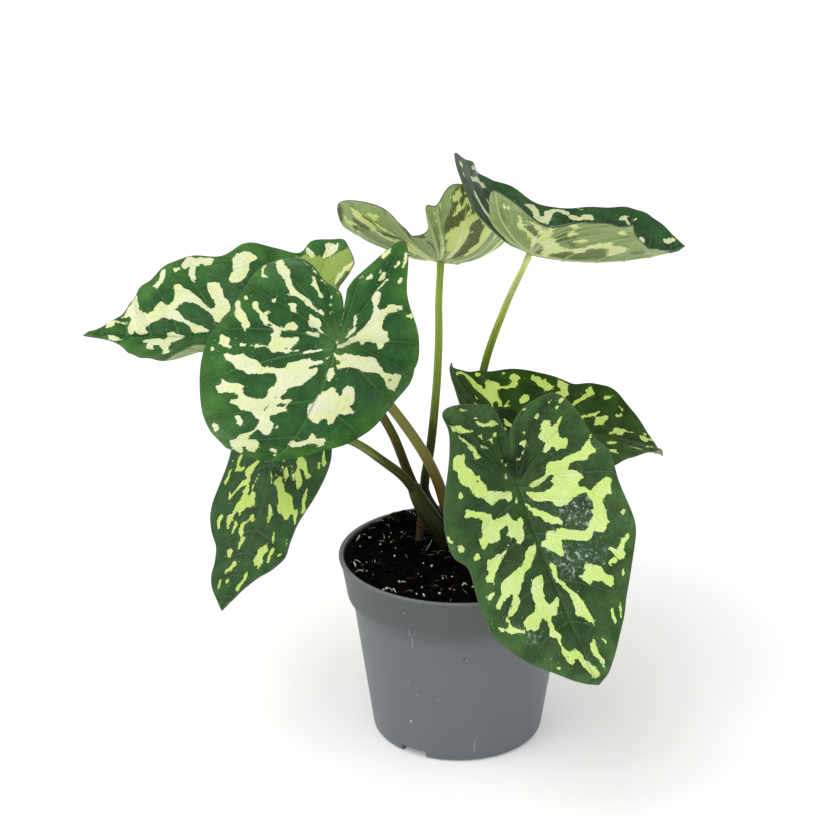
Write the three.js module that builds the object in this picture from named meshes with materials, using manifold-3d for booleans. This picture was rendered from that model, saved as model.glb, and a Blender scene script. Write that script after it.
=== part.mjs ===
// A potted hilo beauty caladium: seven spotted, heart-shaped leaves on thin stalks that rise from
// a tuber in a nursery pot. Millimetres, +Z up, the origin on the underside of the pot at its axis.
// Seen from the front (looking along +Y) the biggest leaf hangs over the rim at the right.

import * as THREE from 'three';
import { mergeVertices } from 'three/addons/utils/BufferGeometryUtils.js';
import Module from 'manifold-3d';

const wasm = await Module();
wasm.setup();

// Driving dimensions of the pot.
const rimRadius = 60;
const potHeight = 95;
const bandRadius = 56;
const bandHeight = 75.8;
const creaseRadius = 53;
const creaseHeight = 71.3;
const baseRadius = 42.3;
const footFlare = 0.9;
const footHeight = 3;
const wall = 1.3;
const floorThickness = 2;
const potSides = 56;

// Drain channels under the floor, each with a roof inside the pot and one hole in that roof.
const channelCount = 3;
const firstChannelAngle = -122;
const channelWidth = 14;
const channelHeight = 4;
const channelStart = 15;
const roofHeight = 6;
const roofSide = 1.5;
const drainRadius = 3.5;
const drainDistance = 30;

// Soil, tuber and the places where the stalks stand.
const soilLevel = 91;
const soilBottom = 6.5;
const soilGap = 0.4;
const moundHeight = 1.5;
const moundRadius = 22;
const clearance = 0.35;
const crown = new THREE.Vector2(0, 18);
const tuberTop = 64;
const tuberHeight = 24;
const tuberRadius = 18;
const growthPlateRadius = 14;
const stalkStart = tuberTop + clearance;

// Leaves and stalks.
const bladeThickness = 0.7;
const ribCount = 24;
const ribSteps = 4;
const ribSlope = 0.55;
const stalkSides = 10;
const stalkSteps = 18;
const stalkTaper = 0.8;
const stalkNeck = 7;

// The dry strip of an old sheath beside the stalks.
const sheathWidth = 4.2;
const sheathThickness = 1.2;
const sheathRoute = [[-20, 17, 84], [-20, 17, 92], [-19, 16.5, 101], [-18.5, 18, 111]];

// Colours.
const potGrey = 0x6a6d70;
const soilBlack = 0x1c1511;
const tuberBrown = 0x5a4030;
const sheathBrown = 0x6b4a2c;
const leafGreen = 0x3f6b35;
const stalkOlive = 0x6d7a30;

// One entry for each leaf. The blade is first drawn flat: s runs along the midrib from the stalk
// (negative in the two lobes behind it) and t to the side. Each half of the outline runs from the
// bottom of the notch round the lobe to the tip. Then the blade is bent: the midrib droops along
// its length, the lobes lift, each half folds up from the midrib and curls, and the margin waves.
// Angles are in degrees; pairs are for the left and the right half, seen from above with the tip
// ahead. A heading of 0 points along +X and 90 along +Y; a positive pitch points the tip down.
// foot and via are where the stalk leaves the soil and the points it passes.
const leaves = [
  {
    name: 'front_left', attach: [-58, -38, 218], heading: -127, pitch: 63, roll: -55,
    length: 102, droop: 94, lobeLift: -52, fold: [-8, 12], foldTip: 3, foldLobe: [24, -24],
    curl: [-31, -11], wave: [-2.6, -0.9], wavePhase: [-78, -12], waves: 1.9,
    left: [[-14, 0], [-27, 0], [-40, 8], [-58, 27], [-34, 30], [-14, 45], [12, 53], [43, 37],
      [64, 15], [85, 1], [102, 0]],
    right: [[-14, 0], [-24, 3], [-30, 12], [-46, 23], [-41, 36], [-14, 48], [17, 60], [48, 49],
      [75, 28], [90, 7], [102, 0]],
    foot: [1, 10], stalkRadius: [3.0, 2.2],
    via: [[-6, 13, 113], [-11, 11, 130], [-19, 5, 149], [-33, -8, 175], [-48, -24, 199]],
  },
  {
    name: 'far_left', attach: [-89.5, 28, 201.5], heading: 164, pitch: 10, roll: -35,
    length: 103, droop: -12, lobeLift: 44, fold: [20, 13], foldTip: 12, foldLobe: [15, 11],
    curl: [54, 26], wave: [-3.1, 3.4], wavePhase: [35, -27], waves: 2.4,
    left: [[-14, 0], [-29, 4], [-43, 12], [-52, 23], [-43, 36], [-15, 44], [16, 51], [44, 40],
      [68, 23], [85, 5], [103, 0]],
    right: [[-14, 0], [-28, 5], [-41, 16], [-54, 21], [-47, 38], [-14, 41], [14, 45], [50, 41],
      [74, 29], [85, 12], [103, 0]],
    foot: [-9, 20], stalkRadius: [2.9, 2.0],
    via: [[-18, 22, 111], [-25, 24, 127], [-34, 26, 150], [-48, 28, 171], [-68, 31, 188]],
  },
  {
    name: 'low_left', attach: [-90, 2, 155.5], heading: -109, pitch: 64, roll: 11,
    length: 91, droop: -32, lobeLift: 0, fold: [-4, -18], foldTip: 8, foldLobe: [-15, -15],
    curl: [7, 13], wave: [-0.5, -2.5], wavePhase: [0, 0], waves: 2,
    left: [[-10, 0], [-20, 3], [-31, 7], [-36, 15], [-29, 26], [-11, 30], [13, 32], [43, 23],
      [61, 22], [75, 9], [91, 0]],
    right: [[-10, 0], [-20, 3], [-31, 7], [-36, 15], [-29, 25], [-11, 30], [13, 31], [43, 29],
      [60, 18], [78, 12], [91, 0]],
    foot: [-6, 12], stalkRadius: [3.6, 1.8],
    via: [[-23, 14, 117], [-37, 12, 136], [-52, 10, 150], [-70, 11, 155]],
  },
  {
    name: 'top_middle', attach: [-9.9, 67, 227.4], heading: 68, pitch: 21, roll: -29,
    length: 108, droop: -27, lobeLift: 52, fold: [23, -30], foldTip: -6, foldLobe: [13, -60],
    curl: [42, 123], wave: [2.3, 3.5], wavePhase: [194, -35], waves: 1.6,
    left: [[-34, 0], [-37, 2], [-51, 8], [-64, 26], [-52, 35], [-21, 40], [14, 43], [45, 39],
      [71, 23], [93, 9], [108, 0]],
    right: [[-34, 0], [-38, 14], [-51, 23], [-50, 28], [-52, 43], [-17, 54], [16, 53], [47, 46],
      [74, 28], [95, 13], [108, 0]],
    foot: [-3, 26], stalkRadius: [3.0, 2.0],
    via: [[-13, 28, 112], [-15, 31, 126], [-13, 38, 146], [-11, 46, 166], [-10, 58, 198]],
  },
  {
    name: 'top_right', attach: [33.6, 12, 247.2], heading: 41, pitch: 20.5, roll: 11,
    length: 108, droop: -24, lobeLift: 32.5, fold: [12, 47], foldTip: 21, foldLobe: [24, 24],
    curl: [30, -12], wave: [1.7, -3.2], wavePhase: [16, 57], waves: 2.3,
    left: [[-14, 0], [-31, 4], [-46, 10], [-64, 26], [-44, 38], [-17, 48], [11, 45], [45, 38],
      [80, 32], [100, 14], [108, 0]],
    right: [[-14, 0], [-31, 4], [-47, 8], [-69, 21], [-43, 36], [-13, 44], [8, 57], [44, 36],
      [68, 28], [88, 9], [108, 0]],
    foot: [4, 25], stalkRadius: [3.0, 2.0],
    via: [[6, 38, 130], [13, 47, 175], [23, 38, 211]],
  },
  {
    name: 'front_right', attach: [26.4, -52, 152.1], heading: -64, pitch: 48, roll: -3,
    length: 102, droop: -14, lobeLift: 57, fold: [23, 10], foldTip: -8, foldLobe: [25, 12],
    curl: [21, -17], wave: [-2.9, -1.7], wavePhase: [-46, 51], waves: 2.3,
    left: [[-13, 0], [-28, 6], [-41, 14], [-49, 22], [-38, 33], [-18, 41], [16, 47], [43, 42],
      [70, 28], [94, 11], [102, 0]],
    right: [[-13, 0], [-27, 6], [-41, 13], [-45, 28], [-42, 36], [-24, 33], [22, 46], [37, 39],
      [70, 37], [96, 11], [102, 0]],
    foot: [8, 12], stalkRadius: [3.0, 2.2],
    via: [[15, -8, 114], [22, -30, 134]],
  },
  {
    name: 'back_right', attach: [31, 8, 156.2], heading: 29, pitch: 4, roll: 16,
    length: 99, droop: 33, lobeLift: 53, fold: [5, 1], foldTip: 32, foldLobe: [20, 10],
    curl: [10, 9], wave: [-1.5, 0.3], wavePhase: [0, 0], waves: 2.3,
    left: [[-14, 0], [-28, 3], [-41, 10], [-50, 23], [-40, 34], [-14, 40], [12, 45], [42, 33],
      [66, 32], [89, 9], [99, 0]],
    right: [[-14, 0], [-28, 3], [-41, 10], [-49, 22], [-40, 34], [-14, 45], [14, 45], [41, 35],
      [66, 25], [87, 9], [99, 0]],
    foot: [11, 19], stalkRadius: [3.0, 2.0],
    via: [[20, 20, 122], [28, 13, 143]],
  },
];

const plant = new THREE.Group();

// A mesh of plain triangles with shared corners and no empty ones.
function cleaned(geometry) {
  const bare = geometry.clone();
  for (const name of ['normal', 'uv']) {
    if (bare.getAttribute(name)) bare.deleteAttribute(name);
  }
  const merged = mergeVertices(bare, 1e-4);
  const corners = merged.index.array;
  const kept = [];
  for (let i = 0; i < corners.length; i += 3) {
    const [a, b, c] = [corners[i], corners[i + 1], corners[i + 2]];
    if (a !== b && b !== c && c !== a) kept.push(a, b, c);
  }
  merged.setIndex(kept);
  return merged;
}

function toSolid(geometry) {
  const mesh = cleaned(geometry);
  return new wasm.Manifold(new wasm.Mesh({
    numProp: 3,
    vertProperties: new Float32Array(mesh.getAttribute('position').array),
    triVerts: new Uint32Array(mesh.index.array),
  }));
}

function toGeometry(solid) {
  const mesh = solid.getMesh();
  const geometry = new THREE.BufferGeometry();
  geometry.setAttribute('position', new THREE.BufferAttribute(mesh.vertProperties, 3));
  geometry.setIndex(new THREE.BufferAttribute(mesh.triVerts, 1));
  return geometry;
}

function addPiece(name, geometry, color, roughness) {
  geometry.computeVertexNormals();
  const material = new THREE.MeshStandardMaterial({ color, roughness, metalness: 0 });
  const mesh = new THREE.Mesh(geometry, material);
  mesh.name = name;
  plant.add(mesh);
}

// A body of revolution about Z from [radius, height] pairs.
function turned(profile, sides) {
  const points = profile.map(([radius, height]) => new THREE.Vector2(radius, height));
  return new THREE.LatheGeometry(points, sides).rotateX(Math.PI / 2);
}

// Inner radius of the pot below its crease, where the wall is a plain cone.
function wallInside(height) {
  const foot = baseRadius + footFlare;
  const slope = (creaseRadius - foot) / (creaseHeight - footHeight);
  return foot - wall + slope * (height - footHeight);
}

// The pot's outline: the outside from the middle of the base up to the lip, then the inside down.
function potProfile() {
  const outside = [
    [0, 0], [baseRadius - 1.5, 0], [baseRadius - 0.3, 0.4], [baseRadius + 0.5, 1.4],
    [baseRadius + footFlare, footHeight], [creaseRadius, creaseHeight],
    [creaseRadius + 1.3, creaseHeight + 1.2], [bandRadius - 0.5, bandHeight - 1.7],
    [bandRadius, bandHeight], [rimRadius - 1.2, potHeight - 3.2],
  ];
  const lip = [
    [rimRadius - 0.2, potHeight - 1.8], [rimRadius, potHeight - 0.8], [rimRadius - 0.6, potHeight],
    [rimRadius - 1.9, potHeight], [rimRadius - 2.6, potHeight - 1],
  ];
  const inside = [
    [bandRadius - wall, bandHeight], [bandRadius - wall - 0.8, bandHeight - 2.5],
    [wallInside(creaseHeight - 1), creaseHeight - 1], [wallInside(footHeight + 1), footHeight + 1],
    [baseRadius - wall - 0.3, floorThickness], [0, floorThickness],
  ];
  return [...outside, ...lip, ...inside];
}

function makePot() {
  const turns = Array.from({ length: channelCount }, (unused, i) => (
    THREE.MathUtils.degToRad(firstChannelAngle + i * 360 / channelCount)));
  const roofStart = channelStart - wall;
  const roofEnd = baseRadius - wall / 2;
  const roofBottom = floorThickness - 0.5;
  let pot = toSolid(turned(potProfile(), potSides));
  for (const turn of turns) {
    const roof = new THREE.BoxGeometry(
      roofEnd - roofStart, channelWidth + 2 * roofSide, roofHeight - roofBottom);
    roof.translate((roofEnd + roofStart) / 2, 0, (roofHeight + roofBottom) / 2);
    pot = pot.add(toSolid(roof.rotateZ(turn)));
  }
  for (const turn of turns) {
    const channel = new THREE.BoxGeometry(
      rimRadius - channelStart, channelWidth, 2 * channelHeight);
    channel.translate((rimRadius + channelStart) / 2, 0, 0);
    const drain = new THREE.CylinderGeometry(drainRadius, drainRadius, roofHeight, 16);
    drain.rotateX(Math.PI / 2).translate(drainDistance, 0, roofHeight);
    pot = pot.subtract(toSolid(channel.rotateZ(turn))).subtract(toSolid(drain.rotateZ(turn)));
  }
  addPiece('pot', toGeometry(pot), potGrey, 0.45);
}

// The tuber: a flattened, slightly knobbly bulb with a flat growth plate that the stalks stand on.
function makeTuber(grow) {
  const half = tuberHeight / 2;
  const middle = tuberTop - half;
  const body = turned([
    [0, middle - half - grow], [tuberRadius * 0.55 + grow, middle - half - grow],
    [tuberRadius * 0.88 + grow, middle - half * 0.55], [tuberRadius + grow, middle],
    [growthPlateRadius + 1.5 + grow, middle + half * 0.6],
    [growthPlateRadius + grow, tuberTop + grow], [0, tuberTop + grow],
  ], 24);
  const place = body.getAttribute('position');
  const point = new THREE.Vector3();
  const smoothTop = 2;
  const knobDepth = 8;
  for (let i = 0; i < place.count; i += 1) {
    point.fromBufferAttribute(place, i);
    const angle = Math.atan2(point.y, point.x);
    const low = THREE.MathUtils.clamp((tuberTop - smoothTop - point.z) / knobDepth, 0, 1);
    const knob = 1 + low * (0.05 * Math.sin(3 * angle + 1) + 0.03 * Math.sin(7 * angle));
    place.setXY(i, point.x * knob + crown.x, point.y * knob + crown.y);
  }
  return body;
}

// Directions of a leaf: x along the midrib, y to its left, z out of its upper face.
function leafDirections(leaf) {
  const heading = THREE.MathUtils.degToRad(leaf.heading);
  const pitch = THREE.MathUtils.degToRad(leaf.pitch);
  const along = new THREE.Vector3(Math.cos(heading) * Math.cos(pitch),
    Math.sin(heading) * Math.cos(pitch), -Math.sin(pitch));
  const up = new THREE.Vector3(Math.cos(heading) * Math.sin(pitch),
    Math.sin(heading) * Math.sin(pitch), Math.cos(pitch));
  const roll = THREE.MathUtils.degToRad(leaf.roll);
  up.applyAxisAngle(along, roll);
  const left = new THREE.Vector3().crossVectors(up, along);
  return { along, left, up };
}

// The point reached after a length on an arc that sets out at an angle and turns at a rate.
function onArc(angle, rate, length) {
  if (Math.abs(rate) < 1e-6) return [length * Math.cos(angle), length * Math.sin(angle)];
  const end = angle + rate * length;
  return [(Math.sin(end) - Math.sin(angle)) / rate, (Math.cos(angle) - Math.cos(end)) / rate];
}

// Bends the flat leaf: takes a point (s, t) of the drawing to its place on the plant.
function bent(leaf, directions, s, t) {
  const half = t >= 0 ? 0 : 1;
  const out = Math.abs(t);
  const reach = leaf.length / 2;
  const toRadians = THREE.MathUtils.degToRad;
  const inLobe = s < 0;
  const rate = inLobe ? toRadians(leaf.lobeLift) / reach : -toRadians(leaf.droop) / leaf.length;
  const [run, rise] = onArc(0, rate, Math.abs(s));
  const lean = rate * Math.abs(s);
  const sign = inLobe ? -1 : 1;
  const share = inLobe ? Math.min(-s / reach, 1.5) : Math.min(s / leaf.length, 1) ** 1.5;
  const target = inLobe ? leaf.foldLobe[half] : leaf.foldTip;
  const fold = leaf.fold[half] + (target - leaf.fold[half]) * share;
  const [side, lift] = onArc(toRadians(fold), toRadians(leaf.curl[half]) / reach, out);
  const turns = 2 * Math.PI * leaf.waves * s / leaf.length + toRadians(leaf.wavePhase[half]);
  const ripple = leaf.wave[half] * (out / (0.45 * leaf.length)) ** 2 * Math.sin(turns);
  const height = lift + ripple;
  return new THREE.Vector3(...leaf.attach)
    .addScaledVector(directions.along, sign * (run - Math.sin(lean) * height))
    .addScaledVector(directions.left, (half === 0 ? 1 : -1) * side)
    .addScaledVector(directions.up, rise + Math.cos(lean) * height);
}

// The two margins as points, from the bottom of the notch to the tip.
function marginPoints(leaf, count) {
  return [leaf.left, leaf.right].map((outline, half) => {
    const points = outline.map(([s, t]) => new THREE.Vector2(s, half === 0 ? t : -t));
    return new THREE.SplineCurve(points).getPoints(count);
  });
}

// A blade: lateral ribs leave the midrib in pairs and run to the margin; the surface between them
// is thickened to both sides alike.
function makeBlade(leaf) {
  const directions = leafDirections(leaf);
  const margins = marginPoints(leaf, ribCount);
  const middle = [];
  const numbers = new Map();
  const vertex = (point) => {
    const key = point.toArray().map((value) => Math.round(value * 1000)).join(' ');
    if (!numbers.has(key)) {
      numbers.set(key, middle.length);
      middle.push(point);
    }
    return numbers.get(key);
  };
  const ribs = margins.map((margin, half) => margin.map((end, k) => {
    const other = margins[1 - half][k];
    const spread = ribSlope * (Math.abs(end.y) + Math.abs(other.y)) / 2;
    const start = THREE.MathUtils.clamp((end.x + other.x) / 2 - spread, 0, leaf.length);
    const rib = [];
    for (let j = 0; j <= ribSteps; j += 1) {
      const share = j / ribSteps;
      const s = start + (end.x - start) * share;
      const t = end.y * share;
      rib.push(vertex(bent(leaf, directions, s, half === 0 ? Math.max(t, 0) : Math.min(t, -1e-9))));
    }
    return rib;
  }));
  const triangles = [];
  const addTriangle = (a, b, c, flipped) => {
    if (a === b || b === c || c === a) return;
    triangles.push(flipped ? [a, c, b] : [a, b, c]);
  };
  ribs.forEach((halfRibs, half) => {
    for (let k = 0; k < ribCount; k += 1) {
      for (let j = 0; j < ribSteps; j += 1) {
        const [a, b] = [halfRibs[k][j], halfRibs[k][j + 1]];
        const [c, d] = [halfRibs[k + 1][j + 1], halfRibs[k + 1][j]];
        addTriangle(a, b, c, half === 0);
        addTriangle(a, c, d, half === 0);
      }
    }
  });
  const normals = middle.map(() => new THREE.Vector3());
  for (const corners of triangles) {
    const [a, b, c] = corners.map((number) => middle[number]);
    const face = new THREE.Vector3().crossVectors(b.clone().sub(a), c.clone().sub(a));
    corners.forEach((number) => normals[number].add(face));
  }
  normals.forEach((normal) => normal.normalize());
  const offset = bladeThickness / 2;
  const places = [];
  middle.forEach((point, i) => places.push(...point.clone().addScaledVector(normals[i], offset)));
  middle.forEach((point, i) => places.push(...point.clone().addScaledVector(normals[i], -offset)));
  const below = middle.length;
  const faces = [];
  for (const [a, b, c] of triangles) {
    faces.push(a, b, c, a + below, c + below, b + below);
  }
  const leftEdge = ribs[0].map((rib) => rib[ribSteps]);
  const rightEdge = ribs[1].map((rib) => rib[ribSteps]);
  const edge = [...leftEdge, ...rightEdge.slice(1, -1).reverse()];
  edge.forEach((a, i) => {
    const b = edge[(i + 1) % edge.length];
    faces.push(a, b, b + below, a, b + below, a + below);
  });
  const geometry = new THREE.BufferGeometry();
  geometry.setAttribute('position', new THREE.Float32BufferAttribute(places, 3));
  geometry.setIndex(faces);
  return geometry;
}

// The line of a stalk: straight up out of the tuber, through the soil, and square onto the
// underside of its blade.
function stalkLine(leaf) {
  const { up } = leafDirections(leaf);
  const attach = new THREE.Vector3(...leaf.attach);
  const arch = THREE.MathUtils.degToRad(Math.max(0, -Math.min(...leaf.fold)));
  const topRadius = leaf.stalkRadius[1];
  const seat = bladeThickness / 2 + clearance + topRadius * Math.sin(arch);
  const [x, y] = leaf.foot;
  const points = [
    new THREE.Vector3(x, y, stalkStart),
    new THREE.Vector3(x, y, soilLevel - 1),
    ...leaf.via.map((point) => new THREE.Vector3(...point)),
    attach.clone().addScaledVector(up, -seat - stalkNeck),
    attach.clone().addScaledVector(up, -seat),
  ];
  return new THREE.CatmullRomCurve3(points, false, 'catmullrom', 0.5);
}

// A tube with flat ends round a line, thinner towards the blade, grown by a margin for its hole.
function makeStalk(leaf, grow) {
  const line = stalkLine(leaf);
  const frames = line.computeFrenetFrames(stalkSteps, false);
  const [footRadius, topRadius] = leaf.stalkRadius;
  const places = [];
  for (let k = 0; k <= stalkSteps; k += 1) {
    const share = k / stalkSteps;
    const centre = line.getPointAt(share);
    if (k === 0) centre.z -= grow;
    const radius = THREE.MathUtils.lerp(footRadius, topRadius, share ** stalkTaper) + grow;
    for (let i = 0; i < stalkSides; i += 1) {
      const angle = 2 * Math.PI * i / stalkSides;
      const point = centre.clone()
        .addScaledVector(frames.normals[k], radius * Math.cos(angle))
        .addScaledVector(frames.binormals[k], radius * Math.sin(angle));
      places.push(...point);
    }
  }
  const faces = [];
  for (let k = 0; k < stalkSteps; k += 1) {
    for (let i = 0; i < stalkSides; i += 1) {
      const a = k * stalkSides + i;
      const b = k * stalkSides + (i + 1) % stalkSides;
      faces.push(a, b, b + stalkSides, a, b + stalkSides, a + stalkSides);
    }
  }
  const last = stalkSteps * stalkSides;
  for (let i = 1; i < stalkSides - 1; i += 1) {
    faces.push(0, i + 1, i, last, last + i, last + i + 1);
  }
  const geometry = new THREE.BufferGeometry();
  geometry.setAttribute('position', new THREE.Float32BufferAttribute(places, 3));
  geometry.setIndex(faces);
  return geometry;
}

// The dry brown strip of an old sheath, which stands in the soil beside the stalks.
function makeSheath(grow) {
  const line = new THREE.CatmullRomCurve3(sheathRoute.map((point) => new THREE.Vector3(...point)));
  const section = new THREE.Shape();
  const [thick, wide] = [sheathThickness / 2 + grow, sheathWidth / 2 + grow];
  section.absellipse(0, 0, thick, wide, 0, 2 * Math.PI);
  return new THREE.ExtrudeGeometry(section, {
    steps: 8, curveSegments: 5, bevelEnabled: false, extrudePath: line,
  });
}

// Soil with a loose, uneven top, a hole for each stalk and a pocket for the tuber.
function makeSoil() {
  const rings = [49, 42, 35, 28, 21, 14, 7, 0];
  const shoulder = creaseHeight - 2;
  const inBand = bandRadius - wall - soilGap;
  const body = turned([
    [0, soilBottom], [wallInside(soilBottom) - soilGap, soilBottom],
    [wallInside(shoulder) - soilGap, shoulder], [wallInside(shoulder) + 0.5, bandHeight - 3],
    [inBand - 0.5, bandHeight + 1.5], [inBand + 1.6, soilLevel - 1],
    ...rings.map((radius) => [radius, soilLevel]),
  ], 40);
  const place = body.getAttribute('position');
  for (let i = 0; i < place.count; i += 1) {
    const [x, y, z] = [place.getX(i), place.getY(i), place.getZ(i)];
    if (z > soilLevel - 0.01) {
      const fromCrown = Math.hypot(x - crown.x, y - crown.y);
      const mound = moundHeight * Math.exp(-((fromCrown / moundRadius) ** 2));
      const clods = 0.7 * Math.sin(0.23 * x + 1.3) * Math.sin(0.19 * y + 0.4)
        + 0.5 * Math.sin(0.41 * x - 0.33 * y + 2);
      place.setZ(i, soilLevel + mound + clods);
    }
  }
  let soil = toSolid(body).subtract(toSolid(makeTuber(clearance)));
  for (const leaf of leaves) {
    soil = soil.subtract(toSolid(makeStalk(leaf, clearance)));
  }
  soil = soil.subtract(toSolid(makeSheath(clearance)));
  return toGeometry(soil);
}

makePot();
addPiece('soil', makeSoil(), soilBlack, 0.95);
addPiece('tuber', cleaned(makeTuber(0)), tuberBrown, 0.9);
addPiece('dry_sheath', cleaned(makeSheath(0)), sheathBrown, 0.8);
for (const leaf of leaves) {
  addPiece(`stalk_${leaf.name}`, makeStalk(leaf, 0), stalkOlive, 0.5);
  addPiece(`blade_${leaf.name}`, makeBlade(leaf), leafGreen, 0.5);
}

export default plant;
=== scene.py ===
# %% [markdown]
# # A potted hilo beauty caladium
# Seven heart-shaped leaves, dark green with cream and lime blotches, stand on thin stalks in a
# grey nursery pot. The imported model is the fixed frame: it gives every piece its size and place,
# and this lesson dresses it. Lengths are typed in millimetres and multiplied by `mm`.

# %% Load the frame
import math

import bpy
import numpy as np
from mathutils import Matrix, Vector, noise


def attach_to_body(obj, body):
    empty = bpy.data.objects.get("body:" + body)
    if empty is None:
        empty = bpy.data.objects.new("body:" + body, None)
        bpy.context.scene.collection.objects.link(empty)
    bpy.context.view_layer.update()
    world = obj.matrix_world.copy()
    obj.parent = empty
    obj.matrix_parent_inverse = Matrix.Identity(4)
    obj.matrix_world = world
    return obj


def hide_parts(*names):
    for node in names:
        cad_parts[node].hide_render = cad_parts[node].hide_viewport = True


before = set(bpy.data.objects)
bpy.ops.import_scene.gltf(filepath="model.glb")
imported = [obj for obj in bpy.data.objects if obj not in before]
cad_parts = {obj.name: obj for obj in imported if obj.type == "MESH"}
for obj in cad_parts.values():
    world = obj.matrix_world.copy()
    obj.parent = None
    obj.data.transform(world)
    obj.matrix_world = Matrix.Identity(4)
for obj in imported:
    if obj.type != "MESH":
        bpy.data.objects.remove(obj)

mm = 0.001
dice = np.random.default_rng(11)
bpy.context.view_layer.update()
bpy.ops.object.select_all(action="DESELECT")
print("the frame holds", len(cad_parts), "solids")

# %% [markdown]
# ## Small tools
# Most pieces here start as one of Blender's primitives, whose points are then moved to their
# place by a formula. Reading and writing all points at once as a table is much faster than
# visiting them one by one. A value for each point, such as the distance to a vein, is stored as
# a named attribute, and the materials read it by that name. The other helpers run steps in edit
# mode and give a finished piece its materials and its place in the frame.


# %% Points, attributes and pieces
def read_points(piece):
    table = np.empty(3 * len(piece.data.vertices))
    piece.data.vertices.foreach_get("co", table)
    return table.reshape(-1, 3)


def write_points(piece, table):
    piece.data.vertices.foreach_set("co", np.ascontiguousarray(table, np.float32).ravel())
    piece.data.update()


def store(piece, name, values):
    kind = "FLOAT" if np.ndim(values) == 1 else "FLOAT_VECTOR"
    field = "value" if kind == "FLOAT" else "vector"
    attribute = piece.data.attributes.new(name, kind, "POINT")
    attribute.data.foreach_set(field, np.ascontiguousarray(values, np.float32).ravel())


def recall(piece, name):
    table = np.empty(len(piece.data.vertices), np.float32)
    piece.data.attributes[name].data.foreach_get("value", table)
    return table


def grid_piece(name, columns, rows):
    """A flat grid; returns it with each point's share of the way along and across."""
    bpy.ops.mesh.primitive_grid_add(x_subdivisions=columns, y_subdivisions=rows, size=2)
    piece = bpy.context.object
    piece.name = piece.data.name = name
    table = read_points(piece)
    return piece, (table[:, 0] + 1) / 2, (table[:, 1] + 1) / 2


def in_edit_mode(piece, *steps):
    choose([piece])
    bpy.ops.object.mode_set(mode="EDIT")
    bpy.ops.mesh.select_all(action="SELECT")
    for step in steps:
        step()
    bpy.ops.object.mode_set(mode="OBJECT")


def merge_doubles(distance=0.002 * mm):
    bpy.ops.mesh.remove_doubles(threshold=distance)


def turn_outwards():
    bpy.ops.mesh.normals_make_consistent(inside=False)


def choose(pieces):
    """Selects only these pieces, with the first one active."""
    bpy.ops.object.select_all(action="DESELECT")
    for piece in pieces:
        piece.select_set(True)
    bpy.context.view_layer.objects.active = pieces[0]


def joined(pieces, name):
    choose(pieces)
    bpy.ops.object.join()
    pieces[0].name = pieces[0].data.name = name
    return pieces[0]


def finish_piece(piece, finishes, stands_for=(), sharp=180):
    """Gives a piece its finishes and its place in the frame, and smooths it."""
    choose([piece])
    bpy.ops.object.transform_apply(location=True, rotation=True, scale=True)
    bpy.ops.object.shade_smooth_by_angle(angle=math.radians(sharp))
    if not piece.data.materials:
        for finish in finishes:
            piece.data.materials.append(finish)
    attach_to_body(piece, "root")
    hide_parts(*stands_for)
    corners = sum(len(face.vertices) - 2 for face in piece.data.polygons)
    print(piece.name, "has", corners, "triangles")


# %% [markdown]
# ## Building materials from nodes
# A material is a tree of nodes. These helpers add a node and wire its inputs in one line: an
# input is either a number, a colour or the output of another node. Colours are typed as the
# six digits that a picture program shows, and turned into the linear values that light uses.


# %% Node helpers
def ink(digits):
    parts = [int(digits[i:i + 2], 16) / 255 for i in (0, 2, 4)]
    return (*[c / 12.92 if c <= 0.04045 else ((c + 0.055) / 1.055) ** 2.4 for c in parts], 1.0)


def put(tree, socket, value):
    if isinstance(value, bpy.types.NodeSocket):
        tree.links.new(value, socket)
    elif value is not None:
        socket.default_value = value


def add(tree, kind, inputs=None, out=0, **settings):
    node = tree.nodes.new(kind)
    for name, value in settings.items():
        setattr(node, name, value)
    for name, value in (inputs or {}).items():
        put(tree, node.inputs[name], value)
    return node.outputs[out]


def compute(tree, operation, *values):
    return add(tree, "ShaderNodeMath", dict(enumerate(values)), operation=operation)


def times(tree, *values):
    return compute(tree, "MULTIPLY", *values)


def plus(tree, *values):
    return compute(tree, "ADD", *values)


def minus(tree, *values):
    return compute(tree, "SUBTRACT", *values)


def larger(tree, *values):
    return compute(tree, "MAXIMUM", *values)


def from_0_to_1(tree, value):
    return larger(tree, compute(tree, "MINIMUM", value, 1.0), 0.0)


def hypotenuse(tree, first, second):
    squares = plus(tree, times(tree, first, first), times(tree, second, second))
    return compute(tree, "SQRT", squares)


def mixed(tree, share, first, second, blend="MIX"):
    inputs = {0: share, 6: first, 7: second}
    return add(tree, "ShaderNodeMix", inputs, out=2, data_type="RGBA", blend_type=blend)


def ranged(tree, value, low, high, to_low=0.0, to_high=1.0):
    inputs = {0: value, 1: low, 2: high, 3: to_low, 4: to_high}
    return add(tree, "ShaderNodeMapRange", inputs)


def noise_at(tree, place, scale, detail=2.0, rough=0.5):
    inputs = {"Vector": place, "Scale": scale, "Detail": detail, "Roughness": rough}
    return add(tree, "ShaderNodeTexNoise", inputs)


def stretched(tree, place, scale):
    return add(tree, "ShaderNodeMapping", {"Vector": place, "Scale": scale})


def attribute(tree, name, out=2):
    return add(tree, "ShaderNodeAttribute", out=out, attribute_name=name)


def object_place(tree):
    return add(tree, "ShaderNodeTexCoord", out=3)


def flat_millimetres(tree):
    """The leaf's UV map, which holds the flat drawing, in millimetres."""
    return stretched(tree, add(tree, "ShaderNodeUVMap"), (100, 100, 100))


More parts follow.
